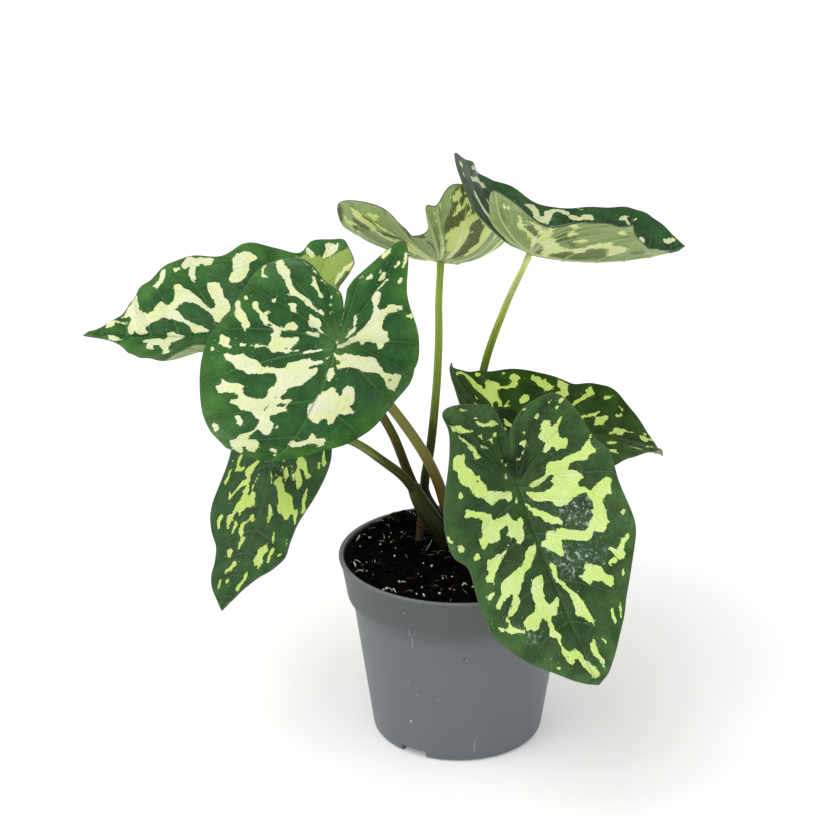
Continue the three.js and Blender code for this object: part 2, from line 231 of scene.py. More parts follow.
def new_group(name, inputs, outputs):
    """A node group with named sockets; returns it with its own input and output nodes."""
    group = bpy.data.node_groups.new(name, "ShaderNodeTree")
    for side, sockets in (("INPUT", inputs), ("OUTPUT", outputs)):
        for socket, (kind, value) in sockets.items():
            made = group.interface.new_socket(socket, in_out=side, socket_type="NodeSocket" + kind)
            if value is not None and side == "INPUT":
                made.default_value = value
    return group, group.nodes.new("NodeGroupInput"), group.nodes.new("NodeGroupOutput")


def placed(tree, group, inputs):
    """Places a node group in a tree and returns its outputs by name."""
    node = tree.nodes.new("ShaderNodeGroup")
    node.node_tree = group
    for name, value in inputs.items():
        put(tree, node.inputs[name], value)
    return node.outputs


def new_material(name, **fixed):
    """A material with one Principled BSDF; fixed values are typed on the shader's own sockets."""
    material = bpy.data.materials.new(name)
    material.use_nodes = True
    shader = material.node_tree.nodes["Principled BSDF"]
    for socket, value in fixed.items():
        shader.inputs[socket.replace("_", " ")].default_value = value
    return material, material.node_tree, shader


def bumped(tree, shader, height, distance):
    inputs = {"Height": height, "Distance": distance, "Strength": 1.0}
    tree.links.new(add(tree, "ShaderNodeBump", inputs), shader.inputs["Normal"])


print("the digits 808080 give", round(ink("808080")[0], 3), "of full light")

# %% [markdown]
# ## The leaves as flat drawings
# A leaf is easiest to describe before it is bent: a flat drawing with `s` along the midrib and
# `t` to the left. Each margin runs from the bottom of the notch round the lobe to the tip. The
# drawing is then bent with a few arcs: the midrib droops, the lobes lift, each half folds up
# from the midrib and curls, and the margin waves. The same bends made the solids in the frame,
# so the finer leaves lie where those solids are; a few margins are drawn a little closer here.

# %% The leaf table
leaves = {
    "front_left": dict(
        attach=(-58, -38, 218), heading=-127, pitch=63, roll=-55, length=102, droop=94,
        lobe_lift=-52, fold=(-8, 12), fold_tip=3, fold_lobe=(24, -24), curl=(-31, -11),
        wave=(-2.6, -0.9), wave_phase=(-78, -12), waves=1.9, quilt=0.7, ruffle=0.5,
        left=[(-14, 0), (-27, 0), (-40, 8), (-58, 27), (-34, 30), (-14, 45), (12, 53), (43, 37),
              (64, 15), (85, 1), (102, 0)],
        right=[(-14, 0), (-24, 3), (-30, 12), (-46, 23), (-41, 36), (-14, 48), (17, 60),
               (48, 49), (75, 28), (90, 7), (102, 0)],
        foot=(1, 10), stalk=(3.4, 2.1),
        via=[(-6, 13, 113), (-11, 11, 130), (-19, 5, 149), (-33, -8, 175), (-48, -24, 199)]),
    "far_left": dict(
        attach=(-89.5, 28, 201.5), heading=164, pitch=10, roll=-35, length=103, droop=-12,
        lobe_lift=44, fold=(20, 13), fold_tip=12, fold_lobe=(15, 11), curl=(54, 26),
        wave=(-3.1, 3.4), wave_phase=(35, -27), waves=2.4, quilt=1.7, ruffle=1.4,
        left=[(-14, 0), (-29, 4), (-43, 12), (-52, 23), (-43, 36), (-15, 44), (16, 51), (44, 40),
              (68, 23), (85, 5), (103, 0)],
        right=[(-14, 0), (-28, 5), (-41, 16), (-54, 21), (-47, 38), (-14, 41), (14, 45),
               (50, 41), (74, 29), (85, 12), (103, 0)],
        foot=(-9, 20), stalk=(2.9, 2.0),
        via=[(-18, 22, 111), (-25, 24, 127), (-34, 26, 150), (-48, 28, 171), (-68, 31, 188)]),
    "low_left": dict(
        attach=(-90, 2, 155.5), heading=-109, pitch=64, roll=11, length=91, droop=-32,
        lobe_lift=0, fold=(-4, -18), fold_tip=8, fold_lobe=(-15, -15), curl=(7, 13),
        wave=(-0.5, -2.5), wave_phase=(0, 0), waves=2, quilt=0.5, ruffle=0.4,
        left=[(-10, 0), (-20, 3), (-31, 7), (-36, 15), (-29, 26), (-11, 30), (13, 32), (43, 23),
              (61, 22), (75, 9), (91, 0)],
        right=[(-10, 0), (-20, 3), (-31, 7), (-36, 15), (-29, 25), (-11, 30), (13, 31), (43, 29),
               (60, 18), (78, 12), (91, 0)],
        foot=(-6, 12), stalk=(3.4, 1.7),
        via=[(-11.5, 10.8, 105), (-19.5, 12.5, 118.5), (-27, 13, 129.5), (-37, 12, 138.5),
             (-52, 10, 150), (-70, 11, 155)]),
    "top_middle": dict(
        attach=(-9.9, 67, 227.4), heading=68, pitch=21, roll=-29, length=108, droop=-27,
        lobe_lift=52, fold=(23, -30), fold_tip=-6, fold_lobe=(13, -60), curl=(42, 123),
        wave=(2.3, 3.5), wave_phase=(194, -35), waves=1.6, quilt=0.9, ruffle=0.9,
        left=[(-34, 0), (-40, 0.5), (-55, 4.5), (-65, 25), (-52, 35), (-21, 40), (14, 43), (45, 39),
              (71, 23), (93, 9), (108, 0)],
        right=[(-34, 0), (-38, 14), (-51, 23), (-50, 28), (-52, 43), (-17, 54), (16, 53),
               (47, 46), (74, 28), (95, 13), (108, 0)],
        foot=(-3, 26), stalk=(2.9, 1.75), neck=1.5,
        via=[(-15.5, 29, 112), (-16.8, 28.5, 122), (-14.2, 32, 137), (-12.4, 36.5, 152),
             (-10.7, 43, 171), (-9.8, 50, 190), (-9.8, 58, 208)]),
    "top_right": dict(
        attach=(33.6, 12, 247.2), heading=41, pitch=20.5, roll=11, length=108, droop=-24,
        lobe_lift=32.5, fold=(12, 47), fold_tip=21, fold_lobe=(24, 24), curl=(30, -12),
        wave=(1.7, -3.2), wave_phase=(16, 57), waves=2.3, quilt=0.6, ruffle=0.5,
        left=[(-14, 0), (-31, 4), (-46, 10), (-64, 26), (-44, 38), (-17, 48), (11, 45), (45, 35),
              (84, 32.5), (102, 20), (108, 0)],
        right=[(-14, 0), (-31, 4), (-47, 8), (-69, 21), (-43, 36), (-13, 44), (8, 56), (30, 40.5),
               (55, 32), (84, 15), (108, 0)],
        foot=(4, 25), stalk=(3.0, 1.5),
        via=[(6, 38, 130), (13, 47, 175), (23, 38, 211)]),
    "front_right": dict(
        attach=(26.4, -52, 152.1), heading=-64, pitch=48, roll=-3, length=102, droop=-14,
        lobe_lift=57, fold=(23, 10), fold_tip=-8, fold_lobe=(25, 12), curl=(21, -17),
        wave=(-2.9, -1.7), wave_phase=(-46, 51), waves=2.3, quilt=0.8, ruffle=0.6,
        left=[(-17, 0), (-28, 1.5), (-41, 10), (-49, 22), (-38, 33), (-18, 41), (16, 47), (43, 42),
              (70, 28), (94, 11), (102, 0)],
        right=[(-17, 0), (-27, 1.5), (-41, 10), (-45, 28), (-42, 36), (-24, 33), (22, 46),
               (37, 39), (70, 37), (96, 11), (102, 0)],
        foot=(8, 12), stalk=(3.0, 2.2),
        via=[(15, -8, 114), (22, -30, 134)]),
    "back_right": dict(
        attach=(31, 8, 156.2), heading=29, pitch=4, roll=16, length=99, droop=33,
        lobe_lift=53, fold=(5, 1), fold_tip=32, fold_lobe=(20, 10), curl=(10, 9),
        wave=(-1.5, 0.3), wave_phase=(0, 0), waves=2.3, quilt=0.6, ruffle=0.7,
        left=[(-22, 0), (-31, 1), (-41, 8), (-50, 23), (-40, 34), (-14, 40), (12, 45), (42, 33),
              (66, 32), (89, 9), (99, 0)],
        right=[(-22, 0), (-31, 1), (-41, 8), (-49, 22), (-40, 34), (-14, 45), (14, 45),
               (41, 35), (66, 25), (87, 9), (99, 0)],
        foot=(11, 19), stalk=(3.0, 2.0),
        via=[(20, 20, 122), (28, 13, 143)]),
}
print(len(leaves), "leaves, the longest", max(leaf["length"] for leaf in leaves.values()), "mm")

# %% [markdown]
# ## The blotches, drawn one by one
# The blotches are what the plant is grown for, so they are drawn one by one on the flat leaf.
# Where a leaf hides behind another, a blotch is a plain brush stroke: its width, where it starts
# and where it ends. Strokes that touch run together. Where the leaf is in full view, a blotch is
# an outline, with its corners as pairs of numbers one after the other, so that it keeps the real
# one's shape. The finest raggedness of the edge is left to the material.

# %% Brush strokes
strokes = {
    "far_left": [
        (5, -14, -12, -6, -22), (6, 6, -6, 10, -18), (3, -26, -34, -22, -38),
        (6, 30, 8, 36, 16), (7, 34, 18, 42, 24), (6, 16, 20, 26, 30), (5, 12, 34, 20, 40),
        (4, 2, 16, 8, 30), (4, -8, 20, -14, 32), (5, -22, 14, -34, 24), (4, -40, 22, -44, 30),
        (3, 24, 38, 32, 34)],
    "top_middle": [
        (6, 19, -5, 19, -20), (6, 19, -20, 22, -34), (5, 34, -4, 38, -18), (6, 38, -20, 46, -30),
        (4, 52, -4, 58, -14), (5, 60, -14, 68, -20), (3, 78, -4, 88, -8),
        (5, -2, 16, 2, 26), (5, 6, 30, 10, 40), (5, 16, 22, 22, 32), (6, 26, 28, 34, 34),
        (4, 46, 12, 50, 20), (4, 50, 22, 58, 28), (4, 64, 4, 72, 14), (3, 84, 3, 92, 6)],
    "top_right": [
        (3, 99, 5.5, 104, 6), (5, 4, 20, 10, 32), (6, 14, 12, 20, 22), (5, 34, 8, 42, 18),
        (4, 56, 6, 66, 14), (4, -8, 24, -14, 30), (5, -22, 14, -34, 22), (3, -10, 8, -16, 14),
        (3, 76, 6, 86, 10), (3, 54, -30, 60, -28), (3, 66, -18, 74, -18), (3, 82, -6, 90, -6),
        (4, -10, -36, -22, -36)],
}
print(sum(len(rows) for rows in strokes.values()), "strokes")

# %% [markdown]
# The outlines follow. Holes are small green specks inside a blotch. The second tone marks skin
# that turns up its pale side, and painted shade under the upper leaves and in the deep notches.
# Glint patches mark where a leaf glistens between its veins, with painted glints in its colour.

# %% Outlined blotches
patches = {
    "front_left": [
        (6.3,43.5, 12,43.2, 18,43.7, 15.1,36, 9.8,31.7, 9.5,30.2, 8,28, 9.3,20.2, 8.7,16, 8.8,11, 9.8,7.7,
         11.3,4.7, 11.2,2.7, 13,3.7, 16.8,3.9, 17.6,2.3, 16.3,0.2, 12.2,0.3, 9.3,3.9, 6.5,6, 7.3,2.7, 6.5,0,
         4.7,0.3, 4.7,2.7, 3.4,6, 2.6,10.2, 2.3,16, 1.2,19.7, 1.5,23.1, 3.8,25.6, 5.7,28.9, 7.3,30.6,
         7.2,33.5, 6.2,39.3),
        (-27.7,28.5, -26.2,29.5, -22.2,23.5, -20.3,21.4, -17.4,20.2, -13.8,20.2, -12.8,21.8, -13.3,23.9,
         -11,25, -9.5,27.3, -7.8,24.8, -4.5,23.9, -3.8,22.3, -5.8,20.2, -6,17.7, -4.5,14.3, -2.2,12.3,
         -4.9,11.4, -3.7,9.3, 1.8,2.7, 2.2,0, 0.5,1, -0.8,3.1, -6.2,8.1, -12,11.8, -16.2,13.5, -21.2,13.9,
         -23.3,13.5, -26.2,12.3, -29.1,13.3, -30.3,15.2, -28.7,16, -25.3,16.2, -22.4,15, -21.6,16.8,
         -22.8,19.3, -25.3,21.4), (-15.7,6, -14.1,7.7, -10,6.4, -13.7,5.3),
        (-9.9,7.8, -6.6,6.4, -3.2,3.9, -4.5,3.7, -10.2,6.7),
        (-52,27.7, -50.3,28.3, -47,28.1, -43.5,25.8, -44.9,25.8, -47.8,26.7, -51.2,26.8),
        (-47.2,24.5, -45.8,24.3, -43,22.3, -44.1,21.8, -46.6,23.5),
        (-39.5,26, -37.7,25.8, -35.8,24.1, -37,24.2, -39.1,25.2),
        (-53.7,20.6, -51.2,20.6, -46.3,16.4, -47,15.4, -49.1,16.4, -52.4,18.9),
        (-39.9,17.7, -37,17, -34.5,15.2, -37,15, -39.5,16.2),
        (-41.2,15.4, -34.5,14.6, -37,14.2, -40.3,14.7), (-37,19.3, -29.9,14.8, -30.8,14.4, -34.1,16.6),
        (-37,11.8, -35.3,11.4, -33.3,7.8, -36.2,10.2, -37.8,10.6), (-37.4,13.5, -35.5,13.3, -36.2,12.3),
        (-26.6,36.4, -23.3,35.2, -24.1,34.2, -23.5,31.8, -26.6,34.2), (-35.5,6.8, -33.5,5.2, -34.7,4.8),
        (32.2,22.8, 33,22.3, 32.8,19.8, 33.7,17.7, 33.4,15.2, 35.1,14.1, 39.8,14.3, 40.1,11.8, 38,9.8,
         37.6,7.7, 40.9,6, 40.5,3.5, 38.7,1.4, 38.3,0, 35.8,-1.5, 31.2,-2.8, 30,-0.4, 25,0.4, 22.9,2.8,
         20.2,3.8, 20,6, 23.8,10.6, 24.7,12.3, 20.1,10.6, 17.6,12.7, 18,15.2, 20.1,17.7, 23,18.9, 26.5,19.5,
         27.2,17.7, 28.8,17.7, 30.1,21),
        (50.5,15.2, 54.7,15.6, 57.2,14.8, 58,13.3, 55.5,13.1, 54.7,11.4, 56.3,7.7, 59.7,4.7, 60.7,1,
         60.3,-0.8, 56,-1, 56.3,1.8, 54.7,5, 52.2,6.2, 47.2,6.4, 48.4,8.1, 50.5,9.3, 49.2,13.5),
        (12.9,-4.7, 16.7,-5.7, 23.3,-11.1, 23.8,-12.8, 25.8,-15.3, 30,-17.8, 32.1,-16.1, 30.2,-12.8,
         30.4,-11.1, 33.3,-12.8, 33.8,-15.7, 35.8,-18, 36.3,-16.1, 35,-11.9, 37.1,-11.7, 41.7,-17.8,
         44.6,-16.1, 45.8,-14, 53.3,-12.3, 54.8,-14.4, 54.2,-16.5, 51.3,-18.6, 50.8,-20.3, 54.2,-21.1,
         62.1,-20.3, 60.4,-17.8, 61.7,-15.3, 65,-12.8, 70,-13, 73.3,-12.3, 74.2,-13.2, 72.1,-16.1,
         69.2,-18.6, 70,-19.8, 77.5,-16.5, 82.5,-16.1, 80,-19, 70,-26.1, 67.5,-26.5, 64.2,-25.3, 58.3,-25.5,
         55.8,-23.2, 53.3,-21.7, 45,-21, 44.6,-23.6, 41.7,-26.5, 42.1,-29.8, 41.7,-32.3, 40,-35.3, 39.3,-39,
         37.1,-39.4, 35.8,-36.5, 34.2,-37.3, 33.8,-39.8, 35.4,-46.5, 33.3,-48.6, 31.3,-46.9, 29,-47.3,
         30,-44.8, 30,-42.3, 28.8,-39.8, 29.6,-36.1, 32.5,-35.7, 34.2,-33.2, 33.8,-31.1, 34.2,-28.2,
         33.3,-25.3, 30.4,-23.3, 28.8,-24.8, 25,-22.8, 22.1,-22.8, 21.5,-26.1, 20.4,-24.8, 20.8,-27.8,
         23.8,-36.9, 22.9,-39, 23.3,-41.9, 21.3,-44.4, 19.6,-50, 18.3,-50.5, 17.1,-48.2, 17.3,-45.7,
         15.4,-42.8, 16.7,-39, 17.1,-34.8, 18.5,-31.5, 18.3,-28.2, 16.7,-21.3, 14.2,-20.7, 10.4,-13.2,
         10.2,-8.2, 9.3,-5.3, 6.7,-1.1, 8.3,-1.5, 11.3,-5.3, 13.3,-9, 15.8,-12.3, 15,-9, 12.9,-6.5),
        (45.8,-11.9, 47.1,-11.1, 48.8,-11.7, 47.5,-13),
        (45.4,-33.2, 46.3,-30.3, 49.2,-28.2, 50.4,-26.7, 51.5,-27.8, 52.3,-30.3, 49.6,-30.7, 47.1,-32.3,
         45.8,-33.8), (55.4,-37.8, 57.5,-36.1, 63.3,-35.7, 56.7,-40, 55.4,-40),
        (64.2,-7.3, 65,-4, 69.2,-2.5, 69.6,-4.8, 67.1,-7.3), (71.3,-2.2, 74.2,-0.7, 75.4,-1.5, 73.3,-2.8),
        (4.6,-5.7, 5.7,-6.1, 7.5,-11.5, 11.8,-31.1, 9.3,-31.5, 9.6,-32.3, 7.9,-32.5, 6.7,-31.9, 5,-33,
         3.3,-31.9, 2.1,-32.3, 1,-34.8, 1,-37.3, -0.2,-40.7, -1.7,-40.3, -2.5,-42.3, -4.6,-44.8, -6.3,-44.7,
         -7.5,-41.9, -5,-41.9, -2.5,-39.8, -4.6,-37.8, -4.6,-36.5, -3.8,-34.4, -2.9,-37.3, -0.8,-36.5,
         0,-34, 0.4,-30.7, 0,-27.8, -2.5,-26.5, -2.9,-24, -2.5,-21.3, -0.8,-21.1, 1.7,-28.4, 4.6,-29,
         4.2,-25.7, 2.3,-19.4, 5,-19.8, 7.5,-21.5, 8.8,-24.8, 8.3,-20.7),
        (9,-31.9, 9.7,-31.9, 12.7,-44.8, 11.8,-45.5),
        (-12.1,-23.2, -10,-23.6, -7.9,-23.2, -7.5,-25.7, -10,-26.5, -10.4,-27.5, -11.5,-26.1),
        (-11.7,-33.6, -10,-33, -9.2,-35.3, -10.2,-35),
        (-8.3,-11.5, -6.7,-9.8, -4.2,-10, -1.7,-5.7, -2.1,-9, -3.4,-11.5, -3.3,-13.2, -3.8,-15.7,
         -5.4,-16.3, -8.8,-16.1), (-1.5,-9.7, -0.2,-9.8, 0,-14, -0.8,-16.9, -2.1,-11.5),
        (-12.5,-9.4, -10.8,-9.4, -11.3,-12.3, -10.8,-13.6, -12.1,-15.7, -12.5,-18.2, -14.2,-20.3,
         -15.2,-23.6, -15.4,-28.6, -16.7,-27.8, -19.2,-28.2, -20,-29.4, -23.3,-30, -30,-33.3, -40,-34.2,
         -42.5,-32.8, -43.8,-31.1, -36.7,-29.8, -31.7,-27.5, -26.7,-27.3, -20,-25.7, -18.3,-23.2,
         -16.7,-19.4, -13.3,-14, -12,-13, -12.9,-11.5),
        (-30.8,-16.7, -29.6,-15.7, -25.8,-14.8, -21.7,-12.8, -19.6,-10.7, -18.2,-11.9, -18.8,-13.3,
         -21.7,-14.4, -24.2,-17.5, -27.5,-16.9, -30.4,-17.3),
        (-28.8,-12.3, -27.5,-10.7, -26.3,-10, -28.3,-12.8),
        (-43.8,-22.3, -36.7,-16.9, -32.1,-14.8, -33.3,-16.1, -37.5,-17.8, -40.8,-20.5),
        (-37.9,-38.2, -25,-40, -23.3,-37.2, -21.7,-38.2, -22.5,-39, -21.5,-40.5, -25,-40.9, -35,-39.8),
        (-24.2,-4.2, -22.9,-3.6, -23.5,-6.1), (-21.3,-6.9, -20,-6.9, -20.7,-8.1),
        (-17.1,-6.3, -15.8,-6.7, -16.7,-7.4), (-13.5,-5.8, -12.1,-6.3, -12.9,-7),
        (-8.8,-47.2, -7.1,-47.3, -6.7,-48.8, -7.9,-49),
        (-6.3,-50.5, -2.5,-50, -0.8,-47.3, 1.7,-44.7, 4.2,-43.6, 5,-45, 6.3,-45.3, 3.3,-48.2, 2.9,-49.8,
         0.8,-53.2, -0.8,-52.3, -4.2,-53.2),
        (13.8,-47.8, 15.4,-48.2, 14.8,-49.8, 15,-54.4, 10.4,-55.3, 10.7,-51.9, 11.3,-49.8, 13.3,-50.3),
        (16.7,-56.9, 17.7,-55.5, 18.8,-56.5, 18.2,-57.8)],
    "front_right": [
        (-20.8,39.7, -15,37.8, -10,38, -5.8,38.8, -5.8,35.7, -2.5,33.2, -4.2,28.2, -3.3,25.3, -0.4,24.8,
         0.8,27.3, 4.2,30.7, 5.8,30, 6.3,27.8, 8.3,26.1, 9.3,26.9, 10,29, 12.1,30.3, 12.9,24.8, 13.8,21.5,
         15,19.8, 15,16.5, 14.2,14, 11.7,12.8, 10,9.8, 9.6,7.3, 7.5,4, 4.2,2.3, 3.3,3.2, 5.4,7.3, 5.8,11.5,
         5.4,14.8, 4.2,16.1, 2.1,15.3, 0.4,17.3, -0.8,16.9, -0.8,15.7, 0.8,12.3, 2.5,9.8, 2.5,6.5, 1.7,4.8,
         0.4,5.7, -1.7,13.2, -4.2,14.8, -6.7,15.3, -7.9,17.3, -7.3,22.3, -8.8,24.8, -9.6,29, -9.6,31.5,
         -12.5,33.6, -16.7,37.8),
        (8.8,41.5, 10,43.6, 11.3,43.8, 13.3,41.9, 17.1,41.1, 17.1,37.8, 19.2,35.7, 24.2,35.7, 27.5,34,
         30,34.4, 33.8,29.8, 32.1,26.1, 34.6,24, 35,21.5, 33.3,16.5, 32.1,14.8, 30.8,10.7, 39.6,9, 34.6,4.8,
         33.3,2.8, 30.4,1.1, 28.8,1.1, 28.8,3.6, 27.5,4.8, 24.6,5.7, 24.6,8.6, 25.4,10.3, 25,12.3,
         27.1,15.3, 30,22.3, 28.8,24.8, 26.7,26.1, 25,29, 21.7,29, 21.3,31.1, 18.3,31.5, 13.8,29.8,
         11.5,29.9, 12.9,31.5, 10.2,36.5),
        (24.2,13.6, 22.5,11.5, 22.1,9, 20.4,6.9, 16.7,4.8, 15.8,3.2, 10.8,1.1, 8.3,0.7, 12.1,3.6, 15,7.3,
         20.8,13.2, 22.5,14.4),
        (38.5,39.7, 40,39.8, 42.5,37.3, 45,35.7, 47.1,36.5, 48.8,34.4, 48.3,31.9, 50,28.6, 49.2,27.2,
         47.9,27.3, 46.7,31.5, 43.3,30.3, 42.1,28.3, 41.3,29.4, 41.7,31.1, 43.8,32.8, 42.5,34.8, 40.4,36.5),
        (26.7,43.6, 28.3,43.6, 30,41.5, 28.8,40.8, 27.5,41.5),
        (52.7,33.8, 55,33.8, 56.3,31.9, 55.2,31.3, 53.8,32.3),
        (54.6,27.2, 57.1,27.5, 58.8,25.3, 57.5,23.2, 55,22.3, 53.8,17.3, 55,16.1, 50.8,12.3, 49,12.3,
         50,14.8, 47.9,16.1, 45.4,15.7, 45.8,18.2, 47.1,20.7, 49.2,23.2, 52.5,24.4),
        (66.7,27.2, 70,26.1, 75,23.4, 70.8,24.4, 67.5,26.1),
        (68.8,21.7, 71.7,20.9, 75,21.1, 77.9,19.8, 72.5,19.9, 69.2,20.8),
        (39.2,2.8, 41.7,3.8, 48.3,2.8, 50,4.8, 54.2,6.1, 57.5,8.2, 62.5,9.8, 73.3,11.7, 74.2,10.3, 70.4,8.6,
         68.3,5.7, 66.3,4, 64.2,5.3, 56.7,4.8, 48.3,1.5, 40,1.3), (80,12.3, 82.5,12.8, 84,11.9, 81.7,11.1),
        (80.7,7.3, 87.5,6.9, 90.8,8.3, 95.4,6.5, 94.6,5.8, 90,6.1, 86.7,3.6, 81.7,4.4),
        (-35,26.1, -30.8,25.6, -27.5,23.8, -20.2,24.8, -20.2,27.2, -18.3,27.5, -13.8,26.5, -14.2,24,
         -13.3,21.5, -16.7,19.8, -13.3,16.9, -13.8,15.3, -19.2,16.9, -21.7,14.2, -30,16.5, -32.1,17.8,
         -31.3,20, -28,20.7, -30,23.5, -34.5,25),
        (-35.8,14.8, -33.8,15.5, -32.3,14.4, -33.3,12.8, -35,13.2),
        (-21.7,7.8, -20.4,8.6, -17.9,6.9, -20,5.5, -21.3,6.1), (-17.1,7.4, -14.6,5.8, -15.8,5.5),
        (-13.8,4.5, -12.1,3.6, -12.9,3), (-26.5,8.2, -25,7.5, -25.5,6.7), (-38.3,9.1, -36.7,7.8, -37.7,7.2),
        (-50,27.2, -45.8,24.8, -42.5,24, -45,23.4, -49.2,25.5), (-41.7,24, -38.8,22.8, -40.5,22.3),
        (-45,20.7, -42.1,19.4, -44,19.1),
        (2,-4.7, 5.3,-5.9, 6.6,-8.4, 4.9,-9.7, 5.3,-13.8, 7.2,-17.6, 6.2,-19.3, 3.3,-20.5, 1.2,-27.2,
         -0.1,-25.1, -2.6,-26.8, -5.5,-30.5, -8.8,-31.8, -11.3,-31.3, -13,-33.4, -18,-32.3, -19.7,-29.7,
         -19.3,-27.6, -20.9,-25.5, -16.3,-25.9, -13.8,-26.8, -11.3,-23, -8,-22.6, -7.6,-20.1, -4.7,-19.8,
         -2.6,-17.6, -0.1,-18.4, 0.3,-14.7, 1.6,-8.8),
        (14.9,-3.2, 21.2,-5.9, 24.5,-5.9, 28.3,-9.7, 27.4,-11.3, 24.1,-10.9, 24.5,-13, 32,-20.1, 35.3,-23.8,
         39.5,-27.2, 44.5,-29.7, 42.4,-30.9, 42.4,-32.3, 40.3,-32, 38.7,-30.1, 34.5,-30.5, 32.8,-29.7,
         32.4,-26.3, 31.2,-23.8, 30.8,-20.1, 24.5,-13.9, 22.8,-15.9, 20.3,-13.8, 18.7,-13, 18.7,-15.5,
         20.3,-19.3, 24.5,-19.7, 25.3,-23, 25.3,-26.8, 27.8,-29.3, 27.4,-30.5, 22.8,-30.1, 20.3,-27.2,
         17,-27.2, 14.1,-25.5, 12.4,-27.2, 11.2,-30.1, 11,-33.4, 7,-30.9, 10.3,-24.3, 11.3,-20.1,
         14.5,-19.3, 12.4,-10.5, 15.8,-10.5, 16.6,-8, 15.3,-5.1),
        (27.7,-1.5, 31.2,-2.2, 38.3,-7.6, 40.3,-10.1, 41.6,-13, 44.5,-14.3, 51.2,-19.8, 54.5,-19.7,
         58.3,-22.6, 61.2,-27.6, 64.1,-29.3, 66.6,-27.6, 67.4,-25.5, 68.7,-25.1, 69.1,-30.1, 67.4,-31.3,
         66.2,-34.3, 64.1,-35.1, 63.3,-34.7, 65.3,-32.2, 64.9,-30.1, 61.2,-29.3, 59.5,-27.6, 51.2,-22.2,
         50.8,-23, 52.8,-28, 56.6,-30.5, 55.3,-32.2, 55.8,-33.4, 52.4,-30.5, 49.5,-27.2, 44.5,-26.8,
         40.3,-18, 38.7,-13.8, 35.3,-10.5, 32,-8, 29.5,-5.5, 29.3,-3),
        (56,-0.1, 64.9,-5.1, 65.3,-8.4, 67.8,-9.3, 71.2,-8.8, 75.3,-7.2, 77,-8.8, 82,-8.4, 83.7,-5.9,
         82.8,-3.4, 85.3,-1.8, 89.5,-0.9, 90,0.6, 97.5,3.2, 98.5,0, 97.8,-1.8, 87,-4.3, 89.5,-8, 88.7,-9.7,
         83.7,-10.5, 76.2,-9.7, 73.7,-12.6, 70.3,-11.3, 67,-10.9, 64.9,-13, 68.7,-15.9, 69.9,-18.8,
         69.1,-21.3, 71.2,-25.1, 67,-22.6, 64.5,-22.2, 62.4,-18.8, 61.2,-15.5, 57.8,-13.8, 50.3,-13,
         45.8,-10.5, 44.5,-5.9, 43.3,-4.3, 47,-5.1, 52,-7.2, 56.2,-8, 59.5,-7.2, 58.3,-4.3, 56.6,-1.8),
        (47.4,-30.7, 49.1,-30.9, 50.8,-33.8, 49.1,-35.1, 47.8,-33),
        (29.1,-32.6, 31.6,-32.6, 32.2,-35.9, 30.3,-35.9, 28.7,-33.8),
        (23.3,-40.1, 25.3,-38.8, 27,-39.7, 26.6,-42, 24.1,-42),
        (17.8,-44.7, 22,-43.2, 22.4,-44.3, 20.3,-45.5), (-1.8,-31.3, 0.8,-31.1, 2,-32.8, 0.8,-33.4),
        (83.3,-18.4, 85.3,-17.8, 86,-18.8, 84.5,-19.5), (88.3,-14.7, 89.9,-13.7, 90.8,-14.3, 89.1,-15.9),
        (-16.8,-17.6, -16.3,-20.5, -19.7,-21.3, -25.5,-25.5, -28,-28.4, -29.3,-28, -22.2,-19.7, -18,-18.8),
        (-30.1,-19.7, -30.1,-26.3, -31.8,-30.9, -34.7,-32.6, -34.3,-27.2, -32.6,-25.5),
        (-33,-7.2, -31.3,-5.5, -30.5,-8, -31.8,-15.5, -34.7,-18.8, -35.5,-18, -33,-14.7, -33.4,-11.3,
         -34.3,-10.5), (-37.6,-20.5, -36.5,-17.6, -36.1,-20.9),
        (-43,-27.2, -41.3,-23.8, -40.9,-26.8, -42.2,-28.2),
        (-23,-16.8, -20.5,-12.2, -20.1,-13.4, -21.8,-16.8), (-28,-15.5, -24.7,-14.7, -27.2,-17.6),
        (-25.5,-10.5, -22.6,-9.7, -24.7,-11.8), (-13.8,-5.9, -12.2,-5.5, -12.6,-6.8),
        (-12.2,-3.4, -10.3,-3.8, -11.3,-4.7), (-7.2,-5.1, -4.7,-4.3, -5.1,-6.2),
        (-27.5,-7, -25.7,-7.5, -25.5,-9, -27.2,-9.5), (4.9,-2.6, 7.8,-3.8, 8.7,-4.8, 6.2,-3.9)],
    "low_left": [
        (3.3,27.9, 9.2,30.3, 11,29.7, 10.7,28.6, 9,27.8, 6.5,27.5),
        (9.3,26.8, 11,27.6, 12.6,27.5, 11.5,26.4, 10,26),
        (6,14.2, 7.1,16.9, 10,19.7, 12.1,20.4, 14.2,20.3, 15,21.5, 15.4,23.6, 16.7,24.4, 17.7,23.8,
         17.1,22.6, 18.3,21.7, 17.5,20.5, 15,19.8, 13.8,18.6, 13.8,16.9, 12.9,15.3, 11.3,14.3),
        (14.6,14.8, 15.4,17.3, 19.2,19.6, 24.4,18, 21.3,16.1, 15.4,14.3),
        (11.5,10.8, 14.2,12.5, 19.2,14.8, 19.8,14.4, 12.5,10.6),
        (13.3,8.6, 14.2,9.7, 16.3,10.3, 18.8,11.9, 19.8,12.1, 19.3,10.7, 20.7,9.8, 16.3,7.9),
        (8.5,7.3, 11.8,7.2, 9.6,5.3, 8.8,5.8), (13.5,7.7, 14.5,7.2, 14.2,6.2, 13.3,6.6),
        (17.5,3.6, 18.8,5.3, 19.2,6.9, 21.3,9, 25.8,11.5, 26.7,14, 28.3,16.1, 33.3,18.6, 34.6,19.7,
         33.3,20.7, 35.4,21.5, 41.3,22.1, 42.5,21.3, 40,21.1, 36.7,19.8, 36.3,18.2, 37.5,16.9, 39.2,17.3,
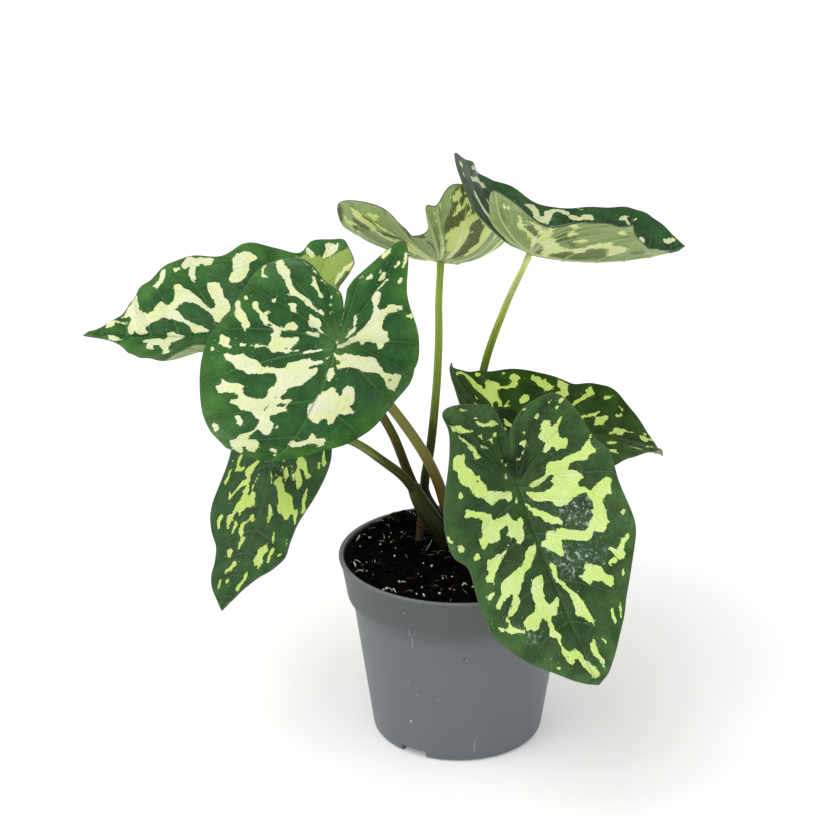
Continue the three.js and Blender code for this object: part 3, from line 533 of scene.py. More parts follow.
         39.6,15.3, 36.7,12.8, 37.5,11.5, 35.4,9.8, 32.5,8.6, 32.9,9.4, 30,9, 27.5,7.3, 26.7,7.8, 20.4,2.8,
         20.8,4.8),
        (22.3,23.6, 24.2,23.2, 27.5,23.8, 30.8,23.8, 34.2,25.7, 35.4,24.8, 36,22.8, 34.6,23.8, 28.8,21.8,
         23.3,22.6), (33.1,4.2, 35,6.3, 37.9,7.6, 42.7,6.9, 41.7,6.1, 38.8,5.7, 33.8,4),
        (16.4,0.4, 21.7,3.2, 22.9,2.5, 17.9,0.5), (47.1,11.9, 50.8,13.6, 52.3,13, 51.3,11.9, 48.3,11.3),
        (55.2,15.3, 56.7,15.5, 59.2,14.7, 63.8,15.5, 62.5,13.6, 60,13.2, 56.7,13.3, 55,14),
        (52.9,9.8, 54.6,11.1, 56.7,11.9, 60.8,10.3, 62.1,11.7, 66.5,10.3, 65,9, 65.4,7.3, 63.8,6.3,
         60.8,5.5, 58.3,6.5, 56.3,6.5, 55,8.2), (56.3,20.7, 57.9,20.3, 59.3,19, 58.3,18.2, 56.7,19.7),
        (68.8,4.8, 70.4,6.1, 80,4.4, 79.2,2.8, 77.5,2.3, 75.4,3.6, 70.4,4),
        (48.8,20, 50.4,21.1, 52.5,21.3, 49.6,19.8),
        (11.8,-8.6, 13.8,-9.4, 15,-11.1, 17.5,-12.3, 20.4,-12.8, 22.1,-11.9, 24.6,-11.9, 26.7,-10.7,
         29.6,-10.7, 30,-9.8, 27.5,-8.2, 27.9,-6.5, 34.8,-4.4, 34.6,-5.7, 35.4,-7.3, 35.8,-9.8, 37.1,-10.3,
         38.3,-11.5, 40,-11.7, 40.4,-12.5, 38.3,-13.2, 38.2,-14.8, 40,-15.7, 42.1,-15.7, 42.9,-14,
         43.8,-15.7, 45.8,-16.1, 47.5,-15.3, 48.1,-16.3, 42.9,-19, 40.8,-19.2, 40,-17.8, 37.9,-16.5,
         33.3,-15.3, 31.7,-14, 29.2,-13.8, 27.1,-14.7, 26.3,-13.2, 24.6,-13.3, 25.4,-14.8, 25.8,-16.9,
         33.8,-20.8, 33.3,-21.9, 30.8,-22.3, 29.2,-23.2, 29.2,-21.9, 30.4,-20.8, 22.1,-16.9, 21.7,-14.8,
         20.8,-14.4, 19.6,-16.9, 17.1,-17.1, 15,-15.7, 14.6,-13.6, 12.5,-11.9, 11.8,-10.3),
        (18.8,-6.9, 20.8,-7.1, 23.3,-8, 27.5,-8.3, 27.1,-9, 24.2,-9.2, 21.3,-8.3),
        (38.9,-3.6, 40,-2.5, 42.5,-1.9, 42.7,-3.2, 42.1,-4.2, 45,-6.9, 50,-6.5, 51.3,-5.3, 50.7,-4,
         52.5,-3.8, 57.9,-4.7, 58.2,-5.7, 55.8,-6.3, 53.8,-6.1, 51.7,-6.5, 48.3,-9.4, 45.4,-9.4, 43.3,-8.6,
         42.9,-6.5, 41.3,-5, 39.6,-5),
        (43.3,-12.8, 44.6,-11.1, 50.2,-11.9, 49.8,-13.6, 47.1,-13, 44.2,-13.2),
        (58.1,-8.6, 60.4,-8, 62.5,-8.8, 62.3,-10, 58.3,-11.5, 57.9,-9.8),
        (64.4,-4, 65.4,-2.8, 70,-4.4, 71.5,-7.2, 69.6,-7.6, 68.8,-6.3, 66.7,-5.3, 65,-5.3),
        (74.3,-4, 75.4,-3, 77.1,-3.6, 76.7,-4.4, 74.8,-4.7), (74.3,-7.8, 80.8,-6.1, 80.4,-7.3, 75,-8.3),
        (15.3,-18.3, 17.1,-18.3, 17.9,-19.8, 17.7,-21.9, 18.9,-23.8, 17.9,-25, 16.5,-23.8, 12.1,-24,
         10,-22.8, 10.3,-19.8, 10.8,-20.8, 12.5,-22.3, 15,-22.3, 16,-20.8, 16,-19.4),
        (11.5,-26.9, 12.5,-26.5, 13.6,-27.8, 12.1,-28),
        (17.5,-25.8, 19.2,-26.5, 21.7,-26.3, 25.4,-26.9, 24.8,-28.6, 22.9,-28.8, 20.8,-28, 18.8,-28.2,
         17.3,-27.2),
        (41,-22.3, 41.7,-21.7, 43.8,-22.3, 46.3,-22.2, 48.1,-21.3, 48.3,-22.2, 45,-24.2, 41.7,-23.8),
        (-4,10, -2.5,16, -6,20, -9,19, -7.5,14), (-14,12, -13,17, -22,20, -24,17),
        (-20,22, -18,25, -26,23, -25,20), (-2,-8, -5,-16, -10,-20, -11,-17),
        (-16,-12, -26,-15, -25,-18, -17,-15)],
    "top_middle": [
        (-29.3,-17.9, -31.4,-20, -33.2,-25, -32.7,-25.8, -33.3,-28.3, -34.3,-30.4, -33.9,-33.3, -32.7,-35.8,
         -27.3,-43.5, -25.2,-43.8, -25.8,-40.8, -25.2,-37.9, -26.8,-35, -27.3,-32.5, -26.8,-30.6, -25.2,-30,
         -22.7,-30, -22.3,-28.3, -20.6,-25.4, -18.5,-23.3, -17.7,-20.8, -13.9,-15.8, -9.8,-12.1, -6.8,-10,
         -4.8,-7.9, -7.7,-7.9, -12.3,-10, -14.3,-12.1, -15.2,-11.7, -16.4,-13.8, -17.7,-12.5, -19.3,-11.7,
         -21.4,-13.8, -23.9,-15.4, -27.7,-19.6),
        (-40.2,-30.8, -39.3,-30.4, -39.3,-35.4, -40.2,-37.5, -39.3,-39.2, -37.7,-39.2, -38.3,-41.7,
         -37.7,-43.3, -40.2,-43.8, -44.1,-43.8, -42,-39.2, -43.1,-36.7, -43.1,-34.6, -41.4,-33.3),
        (-49.8,-35.4, -48.5,-34.6, -47.3,-35.2, -45.6,-34.6, -46,-36.7, -45.6,-41.7, -46,-43.3, -47,-40.2,
         -48.9,-40, -49.8,-41.3, -50.6,-39.6), (-35.2,-33.3, -34.1,-33.3, -34.3,-38.3, -35.2,-38.3),
        (-9.3,-20, -6.8,-19.6, -5.2,-17.1, -0.2,-13.8, 1.5,-14.6, 4,-17.5, 4,-23.3, 2.3,-25.8, 1.5,-28.3,
         4,-30.8, 6,-35, 4,-38.8, -1.8,-42.1, -8.1,-42.5, -14.3,-42.1, -18.5,-40.8, -23.1,-38.8,
         -24.3,-37.5, -19.8,-36.7, -18.5,-37.1, -16.8,-36.3, -16,-33.3, -14.3,-30.8, -12.3,-30,
         -10.2,-27.5), (-42.7,-22.9, -40.2,-20, -42.3,-23.3), (-47.5,-25.8, -46,-25, -47.5,-27.7),
        (-50,-28.8, -48.5,-28.5, -49.1,-29.8, -50,-29.8),
        (-35.2,-20.2, -14.3,-7.1, -3.9,-2.1, -14.3,-8, -25.2,-15),
        (-59.2,21.2, -57.8,22.5, -56.5,22.1, -52.4,23, -48.7,19.8, -46.5,18.7, -43.3,18.5, -41.2,19.4,
         -40.5,17.5, -38.7,16.2, -35.1,16.6, -32.8,13, -29.6,9.8, -25.1,8, -11.5,8.5, -13.7,6.6, -12.4,4.4,
         -16.9,4.4, -28.7,7.1, -31.5,8.9, -36.9,13.5, -41.5,15.7, -44.2,14.8, -50.5,16.6, -52.4,18.5,
         -54.6,17.5, -56.5,18.5),
        (-53.7,16.2, -52.4,15.3, -47.8,13.5, -47.8,12.1, -49.2,10.7, -49.6,8.9, -51,9.4, -54.2,13.5),
        (-46.5,13.9, -42.4,13.5, -34.6,8.9, -36,8.5, -45.5,13),
        (-56,29.4, -53.3,31.2, -42.4,31.6, -41.5,30.7, -47.8,29.8, -46.5,27.5, -46.9,26.2, -52.4,28.9,
         -54.6,28.5), (-41.5,28.5, -40.5,29.8, -36.9,29.8, -37.8,28.9, -40.1,28),
        (-30,4, -24,5, -15,5.8, -5,5.5, 5,8, 15,11.5, 45,20, 45,17, 30,12, 15,8, 5,4.5, -5,2, -24,2.6)],
    "top_right": [
        (17.5,35.3, 26.9,38.2, 27.8,37.6, 26.4,35, 28.7,34.4, 26.6,30, 29.9,30, 32.2,34.1, 38.7,34.4,
         39.3,32.9, 36.9,31.8, 35.2,29.4, 29.3,24.4, 26.9,24.7, 23.4,25.9, 21.6,28.2, 22.2,30.6, 23.4,32.9,
         20.5,35),
        (38.5,34.4, 44,34.4, 48.7,32.4, 48.7,30.3, 51.9,30.3, 52.2,28.8, 55.8,28.2, 57.5,29.4, 64,28.8,
         62.8,25.9, 58.7,25.6, 48.1,27.1, 46.9,29.4, 44.6,31.8, 41.6,32.9, 39,32.6),
        (55.5,34.4, 56.9,32.9, 59.3,32.6, 57.5,32.1, 55.8,33.2),
        (79.3,24.4, 82.2,26.2, 85.8,26.5, 87.5,25.6, 84.9,24.7, 85.8,22.4, 84,20.3, 82.8,21.8, 83.7,23.5),
        (88.1,23.5, 92,23.5, 91,22.2, 88.1,22.4), (103,5, 104,6.7, 105.4,5.4),
        (-38,31, -20,42, -12,43, -10,40, -18,39, -35,31), (-56,29, -50,31, -51,28, -55,27.5),
        (-52,24, -49,26, -48,24), (-35,38, -29,40.5, -16,47, -22,45.6, -32,41),
        (-8,-10, -1.8,-9.4, 4.5,-5, 5.4,-1.3, 9.5,-1.3, 15.1,-5, 17,-6.9, 19.5,-8.1, 24.5,-7.8, 28.9,-8.8,
         27,-11.9, 25.1,-13.8, 27,-15, 30.8,-14.7, 34.5,-16.3, 38.3,-16.9, 42,-11.9, 45.1,-10, 48.3,-9.4,
         48.9,-12.5, 47.6,-20, 45.8,-21.3, 45.1,-25, 43.3,-24.7, 42,-22.5, 39.5,-23.8, 37,-21.9, 34.5,-22.5,
         32.6,-25, 30.1,-25, 27.6,-23.1, 25.8,-20.6, 23.3,-18.1, 22.6,-14.4, 17,-10.6, 12.6,-10, 10.1,-10.6,
         7,-13.1, 3.9,-14.7, 0.1,-15, -1.8,-17.5, -8,-19.4),
        (10.1,-20, 12.6,-18.1, 15.1,-17.5, 17.6,-19.4, 17.9,-21.3, 15.8,-23.1, 13.3,-23.4, 11.4,-21.9),
        (-5.2,-28.8, -3,-26.3, -0.5,-24.4, 2.6,-23.1, 3.9,-23.1, 2.6,-25, 4.5,-27.5, -1.8,-30.6,
         -4.3,-31.3), (22,-37.5, 23.3,-35, 27,-34.1, 28.9,-35.6, 27,-37.5, 23.9,-38.8),
        (-59.5,-21, -57,-19.5, -54.5,-20, -52.5,-22, -57,-22.5),
        (-50.5,-24, -46,-23.5, -42,-20.5, -34,-16, -30,-15, -25,-14.5, -10,-9.5, -7,-5.5, -6,-6.5, -7.5,-10,
         -8,-19, -11.5,-22.5, -15.5,-24.5, -19,-27, -29.5,-32.5, -34,-36, -37,-37.5, -32,-32.5, -20,-24,
         -25,-24.5, -29.5,-28, -34.5,-30.5, -39.5,-32, -44,-29.5, -40,-29, -35,-26.5, -30,-23, -24,-21,
         -19,-20, -14,-18, -13,-15, -26,-16.5, -32,-18.5, -35,-21.5, -41,-23.5, -44,-25.5, -48.5,-26.5)],
    "far_left": [
        (-55,-19, -52,-17.5, -46,-19.5, -38,-16, -36,-14.5, -38,-18, -46,-22, -54,-22),
        (16.2,-31.6, 17.3,-29.9, 21.8,-27.7, 25.7,-27.1, 27.9,-28.8, 27.3,-32.7, 25.7,-33.8, 26.2,-40.4,
         23.4,-41.8, 20.7,-41, 16.2,-41, 12.9,-38.8, 11.2,-37.1, 12.9,-35.8, 16.2,-34.9),
        (25.7,-13.8, 26.8,-11.6, 30.7,-8.2, 32.9,-7.1, 34.6,-8.2, 36.2,-11.6, 40.7,-14.9, 46.2,-17.1,
         50.7,-17.7, 56.2,-14, 53.4,-12.7, 50.7,-9.3, 46.2,-6.6, 40.7,-4.9, 36.8,-3.2, 36.2,-2.1, 44.6,-1.6,
         47.3,-4.9, 50.7,-7.1, 56.2,-9.3, 61.8,-9.9, 64.6,-7.7, 69.6,-6.6, 70.7,-4.3, 69.6,-1.6, 75.1,-1.3,
         76.2,-3.2, 76.8,-1.3, 80.1,-1.6, 80.1,-6, 78.7,-8.2, 80.1,-10.4, 85.1,-10.4, 82.3,-12.7,
         80.7,-17.1, 80.1,-20.4, 77.9,-22.7, 77.3,-19.3, 75.7,-14.9, 73.4,-13.2, 70.1,-12.1, 67.3,-13.2,
         66.2,-16, 64,-19.3, 62.3,-17.7, 59.6,-16.9, 57.3,-18.2, 56.2,-21.6, 57.3,-26, 54,-26.6, 51.8,-24.3,
         49,-23.8, 42.9,-19.3, 37.9,-14.9, 35.1,-14.9, 34.6,-17.1, 39.6,-24.9, 39.6,-27.7, 36.2,-28.2,
         32.9,-27.1, 30.7,-22.7, 29.6,-19.3, 27.3,-17.1), (81.8,2.9, 85.1,3.8, 88.4,3.1, 90.7,-1.3),
        (87.3,-4.9, 87.9,-3.6, 91.8,-3.8, 91.8,-6.6, 88.4,-8.2, 85.1,-7.7, 81.2,-7.7, 81.2,-6.6, 87.3,-7.1),
        (56.2,15.1, 59.6,9.6, 62.9,10.1, 61.8,14, 65.1,14.6, 67.3,6.2, 70.7,4.6, 70.7,2.9, 65.1,2.3,
         61.8,2.9, 59.6,4, 58.4,1.8, 59,-1.6, 56.2,-2.7, 52.9,-1.6, 49.6,0.1, 50.7,2.9, 55.1,5.1, 55.1,9.6,
         54,14, 51.2,17.3, 50.7,21.8, 53.4,23.4),
        (62.3,-30.4, 65.1,-27.1, 67.3,-26.2, 69.6,-27.7, 66.2,-29.9, 64.6,-33.8, 62.3,-34.3),
        (55.1,-33.8, 56.8,-32.7, 58.4,-34.3, 56.8,-35.4, 55.1,-34.9),
        (37.3,-42.1, 37.9,-38.2, 40.7,-36.6, 42.9,-38.2, 46.2,-36, 46.8,-32.7, 45.7,-29.3, 48.4,-28.8,
         50.1,-31.6, 49.6,-36, 52.9,-34.9, 54,-36.6, 52.3,-39.3, 49.6,-41.6, 46.2,-40.4, 41.8,-41.8),
        (-44.9,-34.9, -43.8,-32.1, -39.3,-31, -31.6,-31.3, -32.7,-33.2, -36,-34.9, -36,-37.7, -39.3,-37.7,
         -42.7,-36, -44.3,-36.6)],
    "back_right": [
        (-32,33.8, -28.7,35.5, -23.7,36.9, -16.2,35.7, -12.4,33, -9.5,32.2, -9.1,30.1, -6.6,30.5, -6.2,33,
         -3.3,36.3, -0.3,37.8, 3.8,37.2, 5.1,35.1, 3.8,33.4, 6.3,32.8, 8.8,33, 11.3,34.3, 12.2,36.3,
         11.8,38, 13.4,39.7, 15.5,40.7, 17.6,38.8, 17.2,36.3, 15.1,35.1, 14.7,33, 11.3,30.9, 9.7,31.8,
         7.2,30.5, 4.7,32.2, 2.2,31.3, 0.9,29.3, -0.3,26.3, 0.1,23, -3.3,18, -4.5,18.4, -3.3,21.3,
         -4.5,22.2, -7,20.5, -9.1,17, -9.5,18.4, -8.7,20.5, -11.2,23.8, -13.3,25.5, -18.3,28, -19.5,30.9,
         -21.6,33.4, -24.5,35.1, -27.8,34.3, -32,31.8), (1.3,20.5, 3.8,22.6, 4.3,22.2, 2.2,20.1),
        (-2,19, 1,20.4, 3,18.6), (-11.6,39.7, -7,40.9, -4.9,40.3, -9.1,37.2, -10.8,38),
        (9.7,42.2, 10.7,43.4, 11.8,42.2, 10.9,40.9),
        (22.8,35.5, 24.3,38, 27.6,35.9, 28,33.4, 30.5,34.3, 30.1,31.3, 32,27.6, 29.7,26.2, 25.9,26.2,
         26.8,28, 24.7,30.1, 24.7,32.6),
        (34.3,28, 36.3,33, 38,33.8, 39.7,31.8, 42.6,30.9, 41.3,29.3, 40.1,24.7, 31.8,18.4, 31.3,18.8,
         32.6,20.9, 34.7,22.2, 34.3,23, 31.8,23, 32.2,24.7, 35.5,25.5, 35.9,27.6),
        (35.3,15.5, 43,20.9, 47.2,22.6, 51.3,25.9, 51.3,28, 53.8,28.8, 55.1,30.9, 57.2,30.9, 56.3,29.3,
         57.2,27.2, 55.5,25.5, 39.7,16.3, 36.3,15.1), (61.3,23.2, 62.2,25.1, 67.6,26.5, 65.5,24.7, 63,23.4),
        (63.7,13.4, 65.9,14.7, 68.8,15.5, 70.9,17.2, 70.5,19.3, 68.8,20.9, 70.5,20.7, 72.6,18.8, 71.8,15.5,
         69.7,13.8, 66.3,12.6),
        (38.7,8.8, 40.5,9.7, 44.7,10.9, 51.3,13.8, 55.5,14.7, 51.3,11.3, 42.2,8.8, 40.1,6.5, 38.8,6.8),
        (47,4.8, 49.3,7.2, 50.5,9.7, 54.7,11.3, 60.7,12.3, 58.8,10.1, 55.5,7.6, 53.4,5.1),
        (53.8,-0.2, 58.8,2.6, 60.5,4.7, 63,5.5, 68,6.2, 71.3,5.1, 76.3,5.7, 73,4.3, 68.8,4.3, 64.7,1.8),
        (79.3,2.6, 80.1,5.1, 83.8,6.3, 87.2,5.9, 90.5,7.2, 92.2,5.5, 88,4.7, 85.5,3),
        (81.8,7, 84.7,8.2, 87.2,8.2, 84.7,7),
        (82.6,-4, 84.7,-1.6, 88,0.9, 91.3,1.5, 90.5,-0.3, 87.2,-2, 85.5,-4),
        (-32,1.8, -29.5,5.5, -26.2,7.2, -27.8,5.1, -24.5,3.8, -19.1,8.4, -16.2,9, -14.1,8.8, -14.1,6.8,
         -9.9,3.8, -7.4,3.8, -8.3,1.8, -11.2,1.8, -13.7,3, -16.2,1.3, -14.9,-0.3, -17,-4, -20.3,-4,
         -21.2,-2, -24.5,-1.2, -32,-2),
        (-6.6,4.7, -7,7.2, -5.8,10.1, -4.5,9.7, -3.7,7.2, -2,5.5, -0.8,6.8, -1.2,3, -3.3,2.2, -4.1,4.3),
        (7.2,-4, 15.1,7.2, 17.6,7.2, 18.8,5.5, 21.3,7.2, 20.5,5.1, 18.4,2.6, 21.3,2.6, 24.7,5.9, 26.3,8.8,
         28.8,10.7, 29.7,9.7, 28,6.3, 21.3,-0.3, 18.8,-4, 14,-9, 8,-9),
        (12.2,8.8, 12.6,11.3, 16.3,12.6, 15.9,10.5, 13.4,8.4),
        (9.3,20.1, 10.5,23.4, 15.5,26.2, 17.2,25.1, 16.3,23, 12.2,19.7),
        (-23.7,15.9, -21.2,18, -20.8,17.3, -22.4,15.7), (-21.2,13.7, -19.1,14.7, -19.9,13.2),
        (7.6,15.1, 10.1,16.8, 10.9,16.2, 8.8,14.7), (12.2,15.5, 13.8,17, 14.7,16.3, 13,15.3),
        (25.5,18.8, 28,21.3, 29.7,20.9, 27.2,18.8), (27.2,14.7, 29.7,17.2, 30.1,16.5, 28.4,14.8),
        (-19.9,22.2, -18.7,23, -17.8,21.5, -19.1,20.5), (40,-16, 50,-13, 45,-17.5, 41,-18),
        (35,-26, 38,-23, 41,-24, 38,-29), (50,-20, 59,-23.5, 54,-25),
        (62,-21, 66,-17, 71,-14.5, 78,-9, 72,-16.5), (-22,-31, -16,-28, -13,-30, -20,-34),
        (-12,-25.5, -8,-22.5, -7,-25, -11,-28.5), (-6,-31, 0,-33.5, 3,-36.5, -4,-35),
        (-5,-28, 0,-22, 1,-19, -3,-22), (6,-30, 14,-34, 15,-38, 8,-35), (12,-20, 19,-25, 15,-27, 11,-23),
        (23,-32, 29,-26, 28,-31, 25,-36), (20,-7, 28,-10.5, 29,-13, 21,-10),
        (-30,-16.5, -38,-22, -37,-25, -29,-19)],
}
holes = {
    "front_left": [
        (9.7,37.2, 10.9,38.1, 11.6,36.4, 10.3,34.8, 9.6,35.2), (-26,27.2, -25,27.1, -25.2,26),
        (-22.2,22.2, -21.3,21.9, -21.8,21), (30,-18.5, 33.5,-20.5, 42.5,-22.3, 42.4,-22.9, 33,-21, 30,-19)],
    "front_right": [
        (-6.4,-21.2, -4.7,-21.3, -4.5,-22.4, -5.6,-22.8), (-9.9,-25, -8.8,-25, -9,-26),
        (25.9,10.4, 27,9.9, 26.4,8.8), (85.2,-8.5, 87,-7.8, 86.6,-8.8)],
}
# Second tone: turned-up skin on the pale leaves, painted shade under the upper ones and in the notches.
turned_skin_and_shade = {
    "far_left": [
        (-58,-24, -56,-18, -45,-16.5, -36,-13, -30,-15, -27,-21.5, -22,-28, -9,-39.5, -20,-37.2, -34,-31,
         -45,-30.4, -54,-29)],
    "top_middle": [
        (-35.2,-21.3, -30.2,-18.3, -31.4,-20, -33.2,-25, -33.3,-28.3, -34.3,-30.4, -33.9,-33.3, -27.3,-43.5,
         -45.6,-45, -51.4,-43.3, -51.8,-40.8, -50.6,-37.5, -47.7,-34.6, -44.3,-32.5, -40.2,-25.8),
        (-4.8,-7.9, -13.9,-15.8, -22.3,-28.3, -22.7,-30, -26.8,-30.6, -27.3,-32.5, -26.8,-35, -25.2,-37.9,
         -16.8,-36.3, -16,-33.3, -14.3,-30.8, -12.3,-30, -10.2,-27.5, -9.3,-20, -6.8,-19.6, -5.2,-17.1,
         -0.2,-13.8, 4,-12.5, 4,-7.5, -1.8,-8.8),
        (-25.2,-38.8, -14.3,-42.9, -10.2,-43.1, -16.4,-44.4, -24,-44.6, -25.2,-41.7),
        (-28.9,-17.9, -20.6,-12.5, -16.8,-11.3, -28.5,-18.8),
        (-30.2,-7.9, -26,-8.5, -21.8,-7.9, -11,-3.5, -21.8,-8.9, -26,-9.6, -29.8,-9.4),
        (-35.4,-2.5, -33.5,-2.5, -33.1,-10, -36,-10.8, -37.7,-12.7, -38.5,-10.8),
        (-52.8,19.1, -51.5,18.5, -50.1,16.6, -46.9,15.3, -43.3,14.9, -46.9,14.3, -50.5,15.6, -52.4,17.6),
        (-41,15.7, -39.6,16, -35.1,12.1, -33.3,9.4, -29.6,6.6, -22.4,4.4, -26.5,4.6, -30.5,5.9, -34.2,8.5),
        (-52.8,24.8, -50.1,26.2, -47.8,24.8, -44.2,23.9, -40.5,21.2, -43.3,19.4, -46.5,19.8, -49.2,22.5,
         -51.9,23.5), (-46.5,29.8, -42.4,29.4, -41.9,27.1, -44.2,26.2, -46,27.5),
        (-64,27, -60.1,32.1, -51,35.3, -50.1,33.5, -55.5,30.7, -59.6,27.1)],
    "top_right": [
        (-8,-20, -4.3,-19.4, -1.1,-18.1, 1.4,-15, 6.4,-15, 7.6,-16.3, 12,-15, 15.8,-11.9, 18.3,-13.1,
         10.1,-19.4, 8.3,-23.1, 4.5,-25.6, 3.9,-23.1, -0.5,-24.1, -8,-29.4),
        (10.1,-0.5, 29.5,-0.5, 52,-3.8, 52,-6.3, 45.8,-7.5, 37,-15, 28.3,-13.8, 27,-12.5, 28.9,-9.4,
         24.5,-7.5, 20.1,-7.2, 17,-5.9, 15.1,-3.8),
        (-1.8,-5, 0.1,-1.3, 5.1,-0.6, 4.5,-4.4, 0.1,-8.1, -1.8,-8.8),
        (48.9,-20.6, 52,-18.8, 54.5,-15.6, 58.3,-12.5, 67,-12.5, 63.9,-16.3, 57.6,-21.9, 53.9,-26.3,
         50.8,-25), (-49.5,-30, -45,-29.5, -44,-32, -47,-33),
        (-30,-15.5, -17,-15.5, -14.5,-17.5, -33,-24.5, -36,-25, -33,-21)],
    "front_right": [
        (-13,0, -20,4.5, -15,9, -6,6, -3,1.5, -8,-3, -15,-6, -16,-2)],
    "back_right": [
        (-14,14, -4,17, 4,16, 5,9, 0,4, -8,2, -14,4)],
}
# Where a leaf glistens: smoother skin, with painted glints of light grey-green in its colour.
glint_patches = {
    "front_right": [
        (12,15, 20,13, 30,17, 33,26, 26,31, 14,30), (34,3, 44,3, 50,10, 49,22, 42,28, 36,20),
        (66,-26, 74,-24, 76,-18, 68,-17)],
}
print(sum(len(rows) for rows in patches.values()), "outlined blotches and",
      sum(len(rows) for rows in turned_skin_and_shade.values()), "areas of the second tone")

# %% [markdown]
# ## From drawing to surface
# A leaf starts as Blender's grid. One direction of the grid follows the margin from the notch
# to the tip, the other runs from one margin over the midrib to the opposite margin, and some
# of the lines across are the side veins. They leave the midrib behind their ends, as real ones
# do, and in the lobes they all start where the stalk joins.

# %% Curves and distances
margin_steps = 210
half_steps = 72
vein_columns = (38, 63, 88, 105, 121, 137, 151, 165, 177, 189, 200)
rib_slope = 0.55
stroke_blend = 2.2


def along_curve(points, shares, extended=False):
    """Points on a smooth curve through the given ones, at shares from 0 to 1."""
    points = np.asarray(points, float)
    before = 2 * points[0] - points[1] if extended else points[0]
    after = 2 * points[-1] - points[-2] if extended else points[-1]
    padded = np.vstack([before, points, after])
    place = np.clip(shares, 0, 1) * (len(points) - 1)
    first = np.minimum(place.astype(int), len(points) - 2)
    x = (place - first)[:, None]
    a, b, c, d = (padded[first + k] for k in range(4))
    return (b + x * (c - a) / 2 + x ** 2 * (2 * a - 5 * b + 4 * c - d) / 2
            + x ** 3 * (3 * b - a - 3 * c + d) / 2)


def from_line(s, t, s0, t0, s1, t1):
    """Distance from each point to the straight line between two places."""
    ds, dt = s1 - s0, t1 - t0
    share = np.clip(((s - s0) * ds + (t - t0) * dt) / (ds * ds + dt * dt + 1e-9), 0, 1)
    return np.hypot(s - s0 - ds * share, t - t0 - dt * share)


def depth_in_strokes(s, t, rows):
    """How deep each point lies inside the strokes, in mm, and below zero outside them."""
    painted = np.zeros(len(s))
    for width, *line in rows:
        painted += np.exp(np.clip(stroke_blend * (width / 2 - from_line(s, t, *line)), -40, 20))
    return np.log(painted + 1e-12) / stroke_blend


def depth_in_outline(s, t, corners):
    """Distance to a closed outline in mm, positive inside it."""
    corners = np.array(corners, float).reshape(-1, 2)
    nearest, inside = np.full(len(s), 99.0), np.zeros(len(s), bool)
    for (s0, t0), (s1, t1) in zip(corners, np.roll(corners, -1, axis=0)):
        nearest = np.minimum(nearest, from_line(s, t, s0, t0, s1, t1))
        inside ^= ((t0 > t) != (t1 > t)) & (s < s0 + (s1 - s0) * (t - t0) / ((t1 - t0) or 1e-9))
    return np.where(inside, nearest, -nearest)


def depth_in(outlines, name, s, t):
    depth = np.full(len(s), -99.0)
    for corners in outlines.get(name, ()):
        depth = np.maximum(depth, depth_in_outline(s, t, corners))
    return depth


def depth_in_blotches(name, s, t):
    depth = depth_in(patches, name, s, t)
    if name in strokes:
        depth = np.maximum(depth, depth_in_strokes(s, t, strokes[name]))
    return np.minimum(depth, -depth_in(holes, name, s, t))


def flat_place(leaf, u, w):
    """Where a point of the grid lies on the drawing: u along the margin, w from -1 to 1."""
    left, right = along_curve(leaf["left"], u), along_curve(leaf["right"], u)
    spread = rib_slope * (left[:, 1] + right[:, 1]) / 2
    start = np.clip((left[:, 0] + right[:, 0]) / 2 - spread, 0, leaf["length"])
    end = np.where(w[:, None] >= 0, left, right)
    out = np.abs(w)
    bow = 0.25 * out * (1 - out) * end[:, 1] * np.clip((u - 0.45) / 0.15, 0, 1)
    s = start + (end[:, 0] - start) * out - np.clip(bow, 0, None)
    t = np.sign(w) * np.maximum(end[:, 1], 0) * out
    return s, t, np.hypot(end[:, 0] - start, end[:, 1])


print("a leaf grid has", margin_steps, "by", 2 * half_steps, "steps")

# %% [markdown]
# ## Bending the drawing
# Each bend is an arc: it sets out at an angle and keeps turning by the same amount for each
# millimetre. The relief is added to the height before the bend, so it follows the surface.


# %% The bend
def on_arc(angle, rate, length):
    rate = np.where(np.abs(rate) < 1e-6, 1e-6, rate)
    end = angle + rate * length
    return (np.sin(end) - np.sin(angle)) / rate, (np.cos(angle) - np.cos(end)) / rate


def leaf_directions(leaf):
    heading, pitch, roll = (math.radians(leaf[key]) for key in ("heading", "pitch", "roll"))
    along = Vector((math.cos(heading) * math.cos(pitch), math.sin(heading) * math.cos(pitch),
                    -math.sin(pitch)))
    up = Vector((math.cos(heading) * math.sin(pitch), math.sin(heading) * math.sin(pitch),
                 math.cos(pitch)))
    up.rotate(Matrix.Rotation(roll, 3, along))
    return np.array(along), np.array(up.cross(along)), np.array(up)


